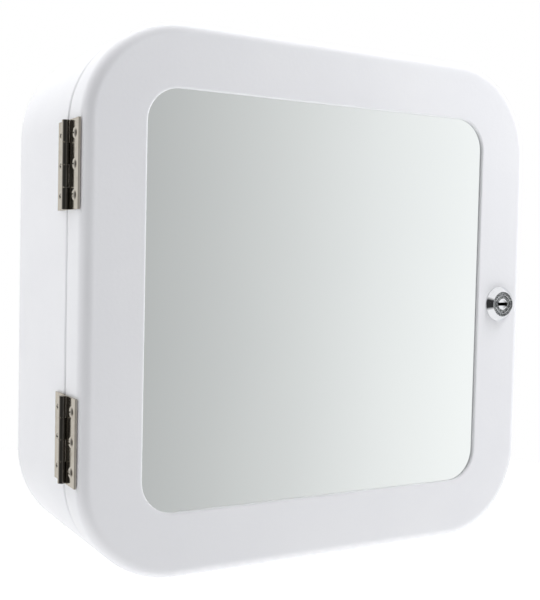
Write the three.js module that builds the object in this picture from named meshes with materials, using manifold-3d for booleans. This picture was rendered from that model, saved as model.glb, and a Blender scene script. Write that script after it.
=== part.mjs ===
// A lockable wall cabinet in folded sheet steel. A shallow body with two fixed shelves carries a
// mirror door on two butt hinges, and a cam lock holds the door shut behind the body's front lip.
// Millimetres. +X is to the right, +Y into the wall and +Z up. The origin is the centre of the back
// face, in the plane of the wall. The door is shut, and the lock is turned to its open position.
import * as THREE from "three";
import { mergeVertices } from "three/addons/utils/BufferGeometryUtils.js";
import Module from "manifold-3d";

const wasm = await Module();
wasm.setup();

// ---------------------------------------------------------------- driving dimensions

// Cabinet outline, the same for the body and the door
const WIDTH = 320;
const HEIGHT = 320;
const CORNER_RADIUS = 60;
const SHEET = 1;
const BEND_RADIUS = 1.8; // outside radius of a folded edge
const SEAT_GAP = 0.1; // left between two pieces that rest on each other
const FIT_GAP = 0.3; // left around a piece that sits in a hole or slides past another

// Body
const BODY_DEPTH = 95;
const FRONT_LIP = 9;
const REAR_FLANGE = 12;
const BACK_PANEL = 1;

// Wall fixing: keyhole slots at the top, plain holes at the bottom
const FIXING_SPACING = 180;
const FIXING_HEIGHT = 95; // above and below the middle
const KEYHOLE_ENTRY_RADIUS = 4.5;
const KEYHOLE_SLOT_RADIUS = 2.5;
const KEYHOLE_RISE = 10;

// Shelves
const SHELF_NAMES = ["upper", "lower"]; // from the top
const SHELF_FOLD = 12;
const SHELF_CLEARANCE = 1.2; // between the body's tapped plates and the shelf's front edge
const SHELF_END_SETBACK = 10; // from the shelf's front edge to its end folds

// Door
const SEAM = 1; // gap between the body's front lip and the shut door
const DOOR_DEPTH = 26;
const FRONT_EDGE_RADIUS = 7;
const FRAME_LEFT = 37.5; // from the door's outer edge to the window, and so on for each side
const FRAME_RIGHT = 39.5;
const FRAME_TOP = 37.5;
const FRAME_BOTTOM = 39.5;
const WINDOW_RADIUS = 20;
const WINDOW_FOLD = 1.6; // depth of the folded edge around the window
const WINDOW_BEND = 1.3;

// Mirror and what holds it
const MIRROR_OVERLAP = 3.5; // past the window's folded edge, each side
const MIRROR_THICKNESS = 3;
const TAPE_WIDTH = 2.8;
const CUSHION_THICKNESS = 1;
const BACK_PLATE_THICKNESS = 0.8;
const CLIP_SHEET = 0.8;
const CLIP_WIDTH = 14;
const CLIP_FOOT = 10;
const CLIP_TONGUE = 9;
const CLIP_SPACING = 140;

// Hinges
const HINGE_LENGTH = 50;
const HINGE_OVERRUN = 2; // of the hinge's end past the start of the corner
const PIN_SETBACK = 5; // of the pin's axis, forward of the middle of the seam
const LEAF_WIDTH = 17.5; // from the pin's axis to the leaf's edge
const LEAF_MARGIN = 3.9; // kept between the door's front and the edge of its leaf
const LEAF_THICKNESS = 1.3;
const PIN_RADIUS = 1;
const PIN_CLEARANCE = 0.15;
const KNUCKLES = 4; // the body's leaf and the door's leaf take them in turn, from the top

// Hinge screws and the tapped plates behind them
const SCREWS_PER_LEAF = 3;
const SCREW_SPACING = 17;
const SCREW_LINE = 10.8; // from the pin's axis
const SCREW_RADIUS = 1.75;
const SCREW_HEAD_RADIUS = 3.5;
const SCREW_DOME = 1.1;
const DOME_SHOULDER = [0.6, 0.7]; // parts of the head's radius and of the dome's height
const SCREW_TIP = 1.5; // past the tapped plate
const SCREW_CLEARANCE = 0.2;
const TAPPED_PLATE_THICKNESS = 2;
const TAPPED_PLATE_WIDTH = 7;
const TAPPED_PLATE_MARGIN = 4; // from the end screws to the plate's ends

// Lock
const LOCK_CLEARANCE = 1.7; // between the lock's barrel and the body's front lip
const LOCK_DROP = 1; // of the lock's axis below the middle
const BEZEL_RADIUS = 11.9;
const BEZEL_FACE_RADIUS = 8.9;
const BEZEL_HEIGHT = 3.8;
const BEZEL_RIM = 0.5; // bright rim around the face
const BARREL_RADIUS = 9.3;
const BARREL_FLATS = 16.4; // across the two flats that stop it turning
const PLUG_RADIUS = 6;
const PLUG_RECESS = 0.6; // of the plug's face behind the bezel's face
const KEYWAY_LENGTH = 8.6;
const KEYWAY_WIDTH = 2.2;
const KEYWAY_DEPTH = 12;
const LOCK_WASHER_RADIUS = 12.4;
const LOCK_WASHER_THICKNESS = 0.8;
const LOCK_NUT_FLATS = 24;
const LOCK_NUT_THICKNESS = 4;
const TENON = 7; // side of the square end that the cam sits on
const TENON_LENGTH = 2.6;
const CAM_THICKNESS = 2;
const CAM_WIDTH = 14;
const CAM_TIP_RADIUS = 3;
const CAM_LATCH = 5.5; // reach of the cam's tip behind the front lip
const CAM_SCREW_RADIUS = 1.8;
const CAM_SCREW_HEAD_RADIUS = 3.6;
const CAM_SCREW_HEAD = 2.2;
const CAM_SCREW_SHOULDER = 0.6; // part of the head's radius and of its height
const CAM_SCREW_LENGTH = 7;
const CAM_WASHER_RADIUS = 4.8;
const CAM_WASHER_THICKNESS = 0.8;

// Rubber buffers on the lip, on the lock's side
const BUFFER_RADIUS = 3;
const BUFFER_SPACING = 150;
const BUFFER_TOP = 0.8; // radius of the flat top, as a part of the button's radius
const BUFFER_SHOULDER = 0.4; // height lost to the rounded shoulder, as a part of the button's

// Roundness of the faceted curves
const CORNER_STEPS = 8; // even
const BEND_STEPS = 2;
const FRONT_EDGE_STEPS = 3;
const ROUND_STEPS = 20;
const SCREW_STEPS = 12;

// ---------------------------------------------------------------- places worked out from them

const bodyFront = -BODY_DEPTH;
const doorBack = bodyFront - SEAM;
const doorFront = doorBack - DOOR_DEPTH;
const panelBack = doorFront + SHEET; // rear face of the door's front panel
const sideX = WIDTH / 2;

const windowWidth = WIDTH - FRAME_LEFT - FRAME_RIGHT;
const windowHeight = HEIGHT - FRAME_TOP - FRAME_BOTTOM;
const windowX = (FRAME_LEFT - FRAME_RIGHT) / 2;
const windowZ = (FRAME_BOTTOM - FRAME_TOP) / 2;
const mirrorGrowth = SHEET + MIRROR_OVERLAP; // past the window, each side
const mirrorFront = doorFront + WINDOW_FOLD + SEAT_GAP;
const mirrorBack = mirrorFront + MIRROR_THICKNESS;
const cushionBack = mirrorBack + SEAT_GAP + CUSHION_THICKNESS;
const backPlateBack = cushionBack + SEAT_GAP + BACK_PLATE_THICKNESS;

const knuckleRadius = PIN_RADIUS + PIN_CLEARANCE + LEAF_THICKNESS;
const hingeX = -sideX - SEAT_GAP - knuckleRadius;
const hingeY = Math.max(bodyFront - SEAM / 2 - PIN_SETBACK, doorFront + LEAF_MARGIN + LEAF_WIDTH);
const hingeZ = HEIGHT / 2 - CORNER_RADIUS + HINGE_OVERRUN - HINGE_LENGTH / 2;

const lockX = sideX - FRONT_LIP - LOCK_CLEARANCE - BARREL_RADIUS;
const lockZ = -LOCK_DROP;
const camFront = bodyFront + SHEET + FIT_GAP; // just behind the front lip
const barrelBack = camFront - FIT_GAP;
const camReach = BARREL_RADIUS + LOCK_CLEARANCE + CAM_LATCH; // from the lock's axis to the cam's tip

// ---------------------------------------------------------------- materials

const finish = (color, roughness, metalness) =>
  new THREE.MeshStandardMaterial({ color, roughness, metalness });
const whitePaint = finish(0xf2f2f4, 0.35, 0);
const nickel = finish(0xc9c5bb, 0.25, 1);
const chrome = finish(0xdddddf, 0.08, 1);
const zincSteel = finish(0xb4b7ba, 0.45, 1);
const mirrorGlass = finish(0xd8dcda, 0.03, 1);
const foam = finish(0xe0e2e4, 0.9, 0);
const rubber = finish(0xd9dad8, 0.8, 0);

// ---------------------------------------------------------------- solids

// A closed geometry as a manifold-3d solid.
function solid(geometry) {
  const bare = geometry.index ? geometry.toNonIndexed() : geometry.clone();
  bare.deleteAttribute("normal");
  bare.deleteAttribute("uv");
  const merged = mergeVertices(bare, 1e-4);
  return new wasm.Manifold(
    new wasm.Mesh({
      numProp: 3,
      vertProperties: merged.attributes.position.array,
      triVerts: new Uint32Array(merged.index.array),
    }),
  );
}

// A manifold-3d solid as a named mesh.
function piece(name, shape, material) {
  const { vertProperties, triVerts, numProp } = shape.getMesh();
  const geometry = new THREE.BufferGeometry();
  geometry.setAttribute("position", new THREE.BufferAttribute(vertProperties.slice(), numProp));
  geometry.setIndex(new THREE.BufferAttribute(triVerts.slice(), 1));
  const mesh = new THREE.Mesh(geometry, material);
  mesh.name = name;
  return mesh;
}

// A box given by its two ends along each axis, in either order.
function box([x0, x1], [y0, y1], [z0, z1]) {
  const geometry = new THREE.BoxGeometry(Math.abs(x1 - x0), Math.abs(y1 - y0), Math.abs(z1 - z0));
  geometry.translate((x0 + x1) / 2, (y0 + y1) / 2, (z0 + z1) / 2);
  return solid(geometry);
}

// A solid turned about the Y axis from [radius, y] points, which start and end on the axis or close
// on themselves.
function turned(points, steps = ROUND_STEPS) {
  const profile = points.map(([radius, y]) => new THREE.Vector2(radius, y));
  return solid(new THREE.LatheGeometry(profile, steps));
}

// A disc or, with a bore, a ring about the Y axis, from front to back.
function disc(radius, front, back, bore = 0) {
  const profile = [[bore, front], [radius, front], [radius, back], [bore, back]];
  return turned(bore > 0 ? [...profile, profile[0]] : profile);
}

// A rod along +Z, with its middle on the Z axis at height z.
function rod(radius, length, z = 0) {
  const geometry = new THREE.CylinderGeometry(radius, radius, length, ROUND_STEPS);
  return solid(geometry.rotateX(Math.PI / 2).translate(0, 0, z));
}

// A plate in the XZ plane, from a shape drawn with x to the right and z up. three.js splits each arc
// into twice as many pieces as curveSegments says.
function plate(shape, front, thickness) {
  const geometry = new THREE.ExtrudeGeometry(shape, {
    depth: thickness,
    bevelEnabled: false,
    curveSegments: CORNER_STEPS / 2,
  });
  return solid(geometry.rotateX(Math.PI / 2).translate(0, front + thickness, 0));
}

// A rounded rectangle about the origin, drawn into a shape or a path.
function roundedRectangle(width, height, radius, path = new THREE.Shape()) {
  const x = width / 2 - radius;
  const z = height / 2 - radius;
  path.absarc(x, z, radius, 0, Math.PI / 2);
  path.absarc(-x, z, radius, Math.PI / 2, Math.PI);
  path.absarc(-x, -z, radius, Math.PI, 1.5 * Math.PI);
  path.absarc(x, -z, radius, 1.5 * Math.PI, 2 * Math.PI);
  path.closePath();
  return path;
}

// ---------------------------------------------------------------- folded rings

// The outline moved in by inset, and the window's outline moved out by growth, at depth y.
const outline = (inset, y) => ({
  width: WIDTH - 2 * inset,
  height: HEIGHT - 2 * inset,
  radius: CORNER_RADIUS - inset,
  centre: [0, 0],
  y,
});
const windowLine = (growth, y) => ({
  width: windowWidth + 2 * growth,
  height: windowHeight + 2 * growth,
  radius: WINDOW_RADIUS + growth,
  centre: [windowX, windowZ],
  y,
});

// Rounded rectangles along a quarter bend. line is outline or windowLine, and the bend's centre is
// at (offset, y). Angles are in degrees: 0 points to a larger offset and 90 to the front.
function bend(line, offset, y, radius, from, to, steps = BEND_STEPS) {
  return Array.from({ length: steps + 1 }, (_, i) => {
    const angle = THREE.MathUtils.degToRad(from + ((to - from) * i) / steps);
    return line(offset + radius * Math.cos(angle), y - radius * Math.sin(angle));
  });
}

// The points of one rounded rectangle, anticlockwise seen from the front.
function loopPoints({ width, height, radius, centre, y }) {
  const x = width / 2 - radius;
  const z = height / 2 - radius;
  const corners = [[x, z, 0], [-x, z, 90], [-x, -z, 180], [x, -z, 270]];
  return corners.flatMap(([cx, cz, start]) =>
    Array.from({ length: CORNER_STEPS + 1 }, (_, i) => {
      const angle = THREE.MathUtils.degToRad(start + (90 * i) / CORNER_STEPS);
      const [dx, dz] = [radius * Math.cos(angle), radius * Math.sin(angle)];
      return [centre[0] + cx + dx, y, centre[1] + cz + dz];
    }),
  );
}

// A sheet folded all round: rounded rectangles joined each to the next and the last to the first.
// The loops run along the outer side towards the front, and back along the inner side.
function foldedRing(loops) {
  const count = 4 * (CORNER_STEPS + 1);
  const index = [];
  loops.forEach((_, row) => {
    const next = (row + 1) % loops.length;
    for (let i = 0; i < count; i++) {
      const j = (i + 1) % count;
      const [a, b, c, d] = [row * count + i, row * count + j, next * count + j, next * count + i];
      index.push(a, b, c, a, c, d);
    }
  });
  const geometry = new THREE.BufferGeometry();
  const points = loops.flatMap(loopPoints).flat();
  geometry.setAttribute("position", new THREE.Float32BufferAttribute(points, 3));
  geometry.setIndex(index);
  return solid(geometry);
}

// ---------------------------------------------------------------- screws

const screwPlaces = Array.from(
  { length: SCREWS_PER_LEAF },
  (_, i) => ((SCREWS_PER_LEAF - 1) / 2 - i) * SCREW_SPACING,
);
const leafFace = -sideX - SEAT_GAP - LEAF_THICKNESS; // the leaf's outer face
const tappedPlateX = -sideX + SHEET + SEAT_GAP; // the tapped plate's outer face
const screwLength = tappedPlateX + TAPPED_PLATE_THICKNESS + SCREW_TIP - leafFace;

// A raised countersunk screw along +X, with the rim of its head at the origin. extra makes it
// fatter all round, to cut its hole.
function screwGeometry(extra = 0) {
  const head = SCREW_HEAD_RADIUS + extra;
  const shank = SCREW_RADIUS + extra;
  const shoulder = [head * DOME_SHOULDER[0], SCREW_DOME * DOME_SHOULDER[1]];
  const crown = extra > 0 ? [head, SCREW_DOME] : shoulder;
  const profile = [
    [0, -screwLength - extra],
    [shank, -screwLength - extra],
    [shank, shank - head],
    [head, 0],
    crown,
    [0, SCREW_DOME],
  ];
  const points = profile.map(([radius, along]) => new THREE.Vector2(radius, along));
  return new THREE.LatheGeometry(points, SCREW_STEPS).rotateZ(Math.PI / 2);
}

// Everything that a leaf's screws pass through is cut by these. The place is that of the middle of
// the hinge on its pin's axis. side is 1 for the body's leaf and -1 for the door's.
function screwHoles(side, x, y, z) {
  return screwPlaces
    .map((along) =>
      solid(
        screwGeometry(SCREW_CLEARANCE).translate(
          x + leafFace - hingeX,
          y + side * SCREW_LINE,
          z + along,
        ),
      ),
    )
    .reduce((all, next) => all.add(next));
}

// ---------------------------------------------------------------- body

const hingeMiddles = { upper: hingeZ, lower: -hingeZ };

function bodyShell() {
  const inner = BEND_RADIUS - SHEET;
  const flangeFront = -BACK_PANEL - SEAT_GAP - SHEET;
  const shell = foldedRing([
    outline(0, 0),
    ...bend(outline, BEND_RADIUS, bodyFront + BEND_RADIUS, BEND_RADIUS, 180, 90),
    outline(FRONT_LIP, bodyFront),
    outline(FRONT_LIP, bodyFront + SHEET),
    ...bend(outline, BEND_RADIUS, bodyFront + BEND_RADIUS, inner, 90, 180),
    outline(SHEET, flangeFront),
    outline(REAR_FLANGE, flangeFront),
    outline(REAR_FLANGE, flangeFront + SHEET),
    outline(SHEET, flangeFront + SHEET),
    outline(SHEET, 0),
  ]);
  return Object.values(hingeMiddles).reduce(
    (cut, z) => cut.subtract(screwHoles(1, hingeX, hingeY, z)),
    shell,
  );
}

// A round entry below a narrow slot, so that the cabinet drops onto a screw head.
function keyhole(x, z) {
  const halfAngle = Math.asin(KEYHOLE_SLOT_RADIUS / KEYHOLE_ENTRY_RADIUS);
  const path = new THREE.Path();
  path.absarc(x, z, KEYHOLE_ENTRY_RADIUS, Math.PI / 2 + halfAngle, 2.5 * Math.PI - halfAngle);
  path.absarc(x, z + KEYHOLE_RISE, KEYHOLE_SLOT_RADIUS, 0, Math.PI);
  path.closePath();
  return path;
}

function backPanel() {
  const inset = SHEET + FIT_GAP;
  const shape = roundedRectangle(WIDTH - 2 * inset, HEIGHT - 2 * inset, CORNER_RADIUS - inset);
  for (const x of [-FIXING_SPACING / 2, FIXING_SPACING / 2]) {
    shape.holes.push(keyhole(x, FIXING_HEIGHT));
    const hole = new THREE.Path();
    hole.absarc(x, -FIXING_HEIGHT, KEYHOLE_SLOT_RADIUS, 0, Math.PI);
    hole.absarc(x, -FIXING_HEIGHT, KEYHOLE_SLOT_RADIUS, Math.PI, 2 * Math.PI);
    shape.holes.push(hole);
  }
  return plate(shape, -BACK_PANEL, BACK_PANEL);
}

// A shelf with its front edge and ends folded down. top is the height of its upper face.
function shelf(top) {
  const end = sideX - SHEET - FIT_GAP;
  const back = -BACK_PANEL - SEAT_GAP - SHEET - FIT_GAP;
  const front = hingeY + SCREW_LINE + TAPPED_PLATE_WIDTH / 2 + SHELF_CLEARANCE;
  const foldFront = front + SHELF_END_SETBACK;
  const foldBottom = top - SHELF_FOLD;
  const endFold = (side) =>
    box([side * end, side * (end - SHEET)], [foldFront, back], [foldBottom, top]);
  return box([-end, end], [front, back], [top - SHEET, top])
    .add(box([-end, end], [front, front + SHEET], [foldBottom, top]))
    .add(endFold(1))
    .add(endFold(-1));
}

const innerHeight = HEIGHT - 2 * SHEET;
const shelfPitch = (innerHeight + SHEET) / (SHELF_NAMES.length + 1);
const shelfTops = SHELF_NAMES.map((_, i) => HEIGHT / 2 - (i + 1) * shelfPitch);

// A plate behind the sheet, tapped for a leaf's screws.
function tappedPlate(side, hingeMiddle) {
  const y = hingeY + side * SCREW_LINE;
  const reach = screwPlaces[0] + TAPPED_PLATE_MARGIN;
  const blank = box(
    [tappedPlateX, tappedPlateX + TAPPED_PLATE_THICKNESS],
    [y - TAPPED_PLATE_WIDTH / 2, y + TAPPED_PLATE_WIDTH / 2],
    [hingeMiddle - reach, hingeMiddle + reach],
  );
  return blank.subtract(screwHoles(side, hingeX, hingeY, hingeMiddle));
}

// A low rubber button that fills the seam, about the Y axis.
function buffer() {
  const base = bodyFront - SEAT_GAP;
  const top = doorBack + SEAT_GAP;
  const crown = top + (base - top) * BUFFER_SHOULDER;
  const topRadius = BUFFER_RADIUS * BUFFER_TOP;
  return turned(
    [[0, top], [topRadius, top], [BUFFER_RADIUS, crown], [BUFFER_RADIUS, base], [0, base]],
    SCREW_STEPS,
  );
}

// ---------------------------------------------------------------- hinges

// One leaf about the middle of its pin, flat against the side, with its knuckles rolled about the
// pin. side is 1 for the body's leaf, which runs back from the pin, and -1 for the door's.
function hingeLeaf(side) {
  const pitch = HINGE_LENGTH / KNUCKLES;
  const first = side > 0 ? 0 : 1;
  const plateStart = side * (knuckleRadius + FIT_GAP);
  const leafX = [knuckleRadius - LEAF_THICKNESS, knuckleRadius];
  const halfLength = HINGE_LENGTH / 2;
  let leaf = box(leafX, [plateStart, side * LEAF_WIDTH], [-halfLength, halfLength]);
  for (let i = first; i < KNUCKLES; i += 2) {
    const middle = halfLength - (i + 0.5) * pitch;
    const halfKnuckle = (pitch - FIT_GAP) / 2;
    const neck = box(leafX, [0, plateStart + side], [middle - halfKnuckle, middle + halfKnuckle]);
    leaf = leaf.add(neck).add(rod(knuckleRadius, 2 * halfKnuckle, middle));
  }
  return leaf
    .subtract(rod(PIN_RADIUS + PIN_CLEARANCE, HINGE_LENGTH + 2))
    .subtract(screwHoles(side, 0, 0, 0));
}

const hingePin = () => rod(PIN_RADIUS, HINGE_LENGTH);

// ---------------------------------------------------------------- door

// The lock barrel's section as a rod along Y through (x, z). extra makes it a hole for the barrel.
function barrelBlank(front, back, x = 0, z = 0, extra = 0) {
  const halfFlats = BARREL_FLATS / 2 + extra;
  const reach = BARREL_RADIUS + extra;
  const geometry = new THREE.CylinderGeometry(reach, reach, back - front, ROUND_STEPS);
  return solid(geometry.translate(x, (front + back) / 2, z)).intersect(
    box([x - reach - 1, x + reach + 1], [front - 1, back + 1], [z - halfFlats, z + halfFlats]),
  );
}

function doorShell() {
  const inner = BEND_RADIUS - SHEET;
  const frontEdgeY = doorFront + FRONT_EDGE_RADIUS;
  const windowInner = WINDOW_BEND - SHEET;
  const windowY = doorFront + WINDOW_BEND;
  const foldBack = doorFront + WINDOW_FOLD;
  const bendDown = (radius, from, to) =>
    bend(outline, BEND_RADIUS, doorBack - BEND_RADIUS, radius, from, to);
  const frontEdge = (radius, from, to) =>
    bend(outline, FRONT_EDGE_RADIUS, frontEdgeY, radius, from, to, FRONT_EDGE_STEPS);
  const shell = foldedRing([
    outline(FRONT_LIP, doorBack),
    ...bendDown(BEND_RADIUS, 270, 180),
    ...frontEdge(FRONT_EDGE_RADIUS, 180, 90),
    ...bend(windowLine, WINDOW_BEND, windowY, WINDOW_BEND, 90, 180),
    windowLine(0, foldBack),
    windowLine(SHEET, foldBack),
    ...bend(windowLine, WINDOW_BEND, windowY, windowInner, 180, 90),
    ...frontEdge(FRONT_EDGE_RADIUS - SHEET, 90, 180),
    ...bendDown(inner, 180, 270),
    outline(FRONT_LIP, doorBack - SHEET),
  ]);
  return Object.values(hingeMiddles).reduce(
    (cut, z) => cut.subtract(screwHoles(-1, hingeX, hingeY, z)),
    shell.subtract(barrelBlank(doorFront - 1, panelBack + 1, lockX, lockZ, FIT_GAP)),
  );
}

// A plate about the window's centre, that much larger than the window on each side. A second growth
// makes it a ring.
function windowPlate(outerGrowth, innerGrowth, front, thickness) {
  const drawn = (growth, path) =>
    roundedRectangle(
      windowWidth + 2 * growth,
      windowHeight + 2 * growth,
      WINDOW_RADIUS + growth,
      path,
    );
  const shape = drawn(outerGrowth, new THREE.Shape());
  if (innerGrowth !== null) {
    shape.holes.push(drawn(innerGrowth, new THREE.Path()));
  }
  return plate(shape, front, thickness);
}

const mirror = () => windowPlate(mirrorGrowth, null, mirrorFront, MIRROR_THICKNESS);

function mirrorTape() {
  const front = panelBack + SEAT_GAP;
  const innerEdge = SHEET + FIT_GAP;
  return windowPlate(innerEdge + TAPE_WIDTH, innerEdge, front, mirrorFront - SEAT_GAP - front);
}

const cushion = () =>
  windowPlate(mirrorGrowth - 1, null, mirrorBack + SEAT_GAP, CUSHION_THICKNESS);
const backPlate = () =>
  windowPlate(mirrorGrowth, null, cushionBack + SEAT_GAP, BACK_PLATE_THICKNESS);

// A bent strip for the top edge of the window: its foot is welded to the panel, and its tongue
// holds the back plate. edge is the height of the mirror's edge, and along is the place beside it.
function mirrorClip(edge, along) {
  const footFront = panelBack + SEAT_GAP;
  const tongueFront = backPlateBack + SEAT_GAP;
  const riser = edge + FIT_GAP;
  const span = [along - CLIP_WIDTH / 2, along + CLIP_WIDTH / 2];
  const tongueEnd = riser + CLIP_SHEET - CLIP_TONGUE;
  return box(span, [footFront, tongueFront + CLIP_SHEET], [riser, riser + CLIP_SHEET])
    .add(box(span, [footFront, footFront + CLIP_SHEET], [riser, riser + CLIP_FOOT]))
    .add(box(span, [tongueFront, tongueFront + CLIP_SHEET], [tongueEnd, riser + CLIP_SHEET]));
}

// ---------------------------------------------------------------- lock

function lockBody() {
  const seat = doorFront - SEAT_GAP;
  const face = seat - BEZEL_HEIGHT;
  const bore = PLUG_RADIUS + FIT_GAP;
  const bezel = turned([
    [bore, face + BEZEL_RIM],
    [BEZEL_FACE_RADIUS - BEZEL_RIM, face + BEZEL_RIM],
    [BEZEL_FACE_RADIUS - BEZEL_RIM / 2, face],
    [BEZEL_FACE_RADIUS, face],
    [BEZEL_RADIUS - BEZEL_RIM, seat - BEZEL_RIM],
    [BEZEL_RADIUS, seat - BEZEL_RIM / 2],
    [BEZEL_RADIUS, seat],
    [bore, seat],
    [bore, face + BEZEL_RIM],
  ]);
  const barrel = barrelBlank(seat - BEZEL_RIM, barrelBack).subtract(disc(bore, seat - 1, barrelBack + 1));
  return bezel.add(barrel);
}

const lockWasherFront = panelBack + SEAT_GAP;
const lockNutFront = lockWasherFront + LOCK_WASHER_THICKNESS + SEAT_GAP;

function lockWasher() {
  const back = lockWasherFront + LOCK_WASHER_THICKNESS;
  return disc(LOCK_WASHER_RADIUS, lockWasherFront, back, BARREL_RADIUS + FIT_GAP);
}

function lockNut() {
  const corner = LOCK_NUT_FLATS / 2 / Math.cos(Math.PI / 6);
  const back = lockNutFront + LOCK_NUT_THICKNESS;
  const hexagon = new THREE.CylinderGeometry(corner, corner, LOCK_NUT_THICKNESS, 6);
  hexagon.translate(0, (lockNutFront + back) / 2, 0);
  return solid(hexagon).subtract(disc(BARREL_RADIUS + FIT_GAP, lockNutFront - 1, back + 1));
}

const plugBack = barrelBack;
const tenonBack = plugBack + TENON_LENGTH;
const camWasherFront = tenonBack + SEAT_GAP;
const camScrewSeat = camWasherFront + CAM_WASHER_THICKNESS + SEAT_GAP;

function lockPlug() {
  const face = doorFront - SEAT_GAP - BEZEL_HEIGHT + PLUG_RECESS;
  const half = TENON / 2;
  return disc(PLUG_RADIUS, face, plugBack)
    .add(box([-half, half], [plugBack - 1, tenonBack], [-half, half]))
    .subtract(
      box(
        [-KEYWAY_LENGTH / 2, KEYWAY_LENGTH / 2],
        [face - 1, face + KEYWAY_DEPTH],
        [-KEYWAY_WIDTH / 2, KEYWAY_WIDTH / 2],
      ),
    )
    .subtract(
      disc(CAM_SCREW_RADIUS + SCREW_CLEARANCE, camScrewSeat - CAM_SCREW_LENGTH - 1, tenonBack + 1),
    );
}

// The cam hangs straight down from the plug when the lock is open.
function lockCam() {
  const half = CAM_WIDTH / 2;
  const tip = CAM_TIP_RADIUS;
  const shape = new THREE.Shape();
  shape.absarc(0, 0, half, 0, Math.PI);
  shape.absarc(-half + tip, -camReach + tip, tip, Math.PI, 1.5 * Math.PI);
  shape.absarc(half - tip, -camReach + tip, tip, 1.5 * Math.PI, 2 * Math.PI);
  shape.closePath();
  const hole = TENON / 2 + FIT_GAP;
  return plate(shape, camFront, CAM_THICKNESS)
    .subtract(box([-hole, hole], [camFront - 1, camFront + CAM_THICKNESS + 1], [-hole, hole]));
}

function camWasher() {
  const back = camWasherFront + CAM_WASHER_THICKNESS;
  return disc(CAM_WASHER_RADIUS, camWasherFront, back, CAM_SCREW_RADIUS + SCREW_CLEARANCE);
}

function camScrew() {
  return turned(
    [
      [0, camScrewSeat - CAM_SCREW_LENGTH],
      [CAM_SCREW_RADIUS, camScrewSeat - CAM_SCREW_LENGTH],
      [CAM_SCREW_RADIUS, camScrewSeat],
      [CAM_SCREW_HEAD_RADIUS, camScrewSeat],
      [CAM_SCREW_HEAD_RADIUS, camScrewSeat + CAM_SCREW_HEAD * CAM_SCREW_SHOULDER],
      [CAM_SCREW_HEAD_RADIUS * CAM_SCREW_SHOULDER, camScrewSeat + CAM_SCREW_HEAD],
      [0, camScrewSeat + CAM_SCREW_HEAD],
    ],
    SCREW_STEPS,
  );
}

// ---------------------------------------------------------------- assembly

// A mesh at a place in its group.
function placed(mesh, x, y, z) {
  mesh.position.set(x, y, z);
  return mesh;
}

const body = new THREE.Group();
body.add(piece("body_shell", bodyShell(), whitePaint));
body.add(piece("back_panel", backPanel(), whitePaint));
shelfTops.forEach((top, i) => {
  body.add(piece(`shelf_${SHELF_NAMES[i]}`, shelf(top), whitePaint));
});
const lipMiddle = sideX - (FRONT_LIP + SHEET) / 2;
body.add(placed(piece("buffer_upper", buffer(), rubber), lipMiddle, 0, BUFFER_SPACING / 2));
body.add(placed(piece("buffer_lower", buffer(), rubber), lipMiddle, 0, -BUFFER_SPACING / 2));

const door = new THREE.Group();
door.add(piece("door_shell", doorShell(), whitePaint));

const glazing = new THREE.Group();
glazing.position.set(windowX, 0, windowZ);
glazing.add(piece("mirror", mirror(), mirrorGlass));
glazing.add(piece("mirror_tape", mirrorTape(), foam));
glazing.add(piece("mirror_cushion", cushion(), foam));
glazing.add(piece("mirror_back_plate", backPlate(), zincSteel));
door.add(glazing);

// Two clips on each edge of the mirror, each edge a quarter turn on from the last
const windowSpans = [windowHeight, windowWidth, windowHeight, windowWidth];
["top", "right", "bottom", "left"].forEach((edge, quarter) => {
  const distance = windowSpans[quarter] / 2 + mirrorGrowth;
  for (const number of [1, 2]) {
    const clip = mirrorClip(distance, (number - 1.5) * CLIP_SPACING);
    const mesh = piece(`mirror_clip_${edge}_${number}`, clip, zincSteel);
    mesh.rotation.y = (quarter * Math.PI) / 2;
    glazing.add(mesh);
  }
});

door.add(placed(piece("lock_body", lockBody(), chrome), lockX, 0, lockZ));
door.add(placed(piece("lock_washer", lockWasher(), zincSteel), lockX, 0, lockZ));
door.add(placed(piece("lock_nut", lockNut(), zincSteel), lockX, 0, lockZ));

const plug = new THREE.Group();
plug.position.set(lockX, 0, lockZ);
plug.add(piece("lock_plug", lockPlug(), chrome));
plug.add(piece("lock_cam", lockCam(), zincSteel));
plug.add(piece("cam_washer", camWasher(), zincSteel));
plug.add(piece("cam_screw", camScrew(), zincSteel));

for (const [place, middle] of Object.entries(hingeMiddles)) {
  for (const [owner, group, side] of [["body", body, 1], ["door", door, -1]]) {
    const leaf = piece(`hinge_${place}_${owner}_leaf`, hingeLeaf(side), nickel);
    group.add(placed(leaf, hingeX, hingeY, middle));
    group.add(piece(`tapped_plate_${place}_${owner}`, tappedPlate(side, middle), zincSteel));
    screwPlaces.forEach((along, i) => {
      const screw = piece(`screw_${place}_${owner}_${i + 1}`, solid(screwGeometry()), nickel);
      group.add(placed(screw, leafFace, hingeY + side * SCREW_LINE, middle + along));
    });
  }
  body.add(placed(piece(`hinge_${place}_pin`, hingePin(), nickel), hingeX, hingeY, middle));
}

const cabinet = new THREE.Group();
cabinet.add(body, door, plug);

export default cabinet;
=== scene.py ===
# A lockable wall cabinet in folded sheet steel with a mirror door, put together around its packed
# model. Sizes are in millimetres, and each finished mesh is scaled to metres.
import math
import random

import bmesh
import bpy
from mathutils import Matrix, Vector


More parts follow.
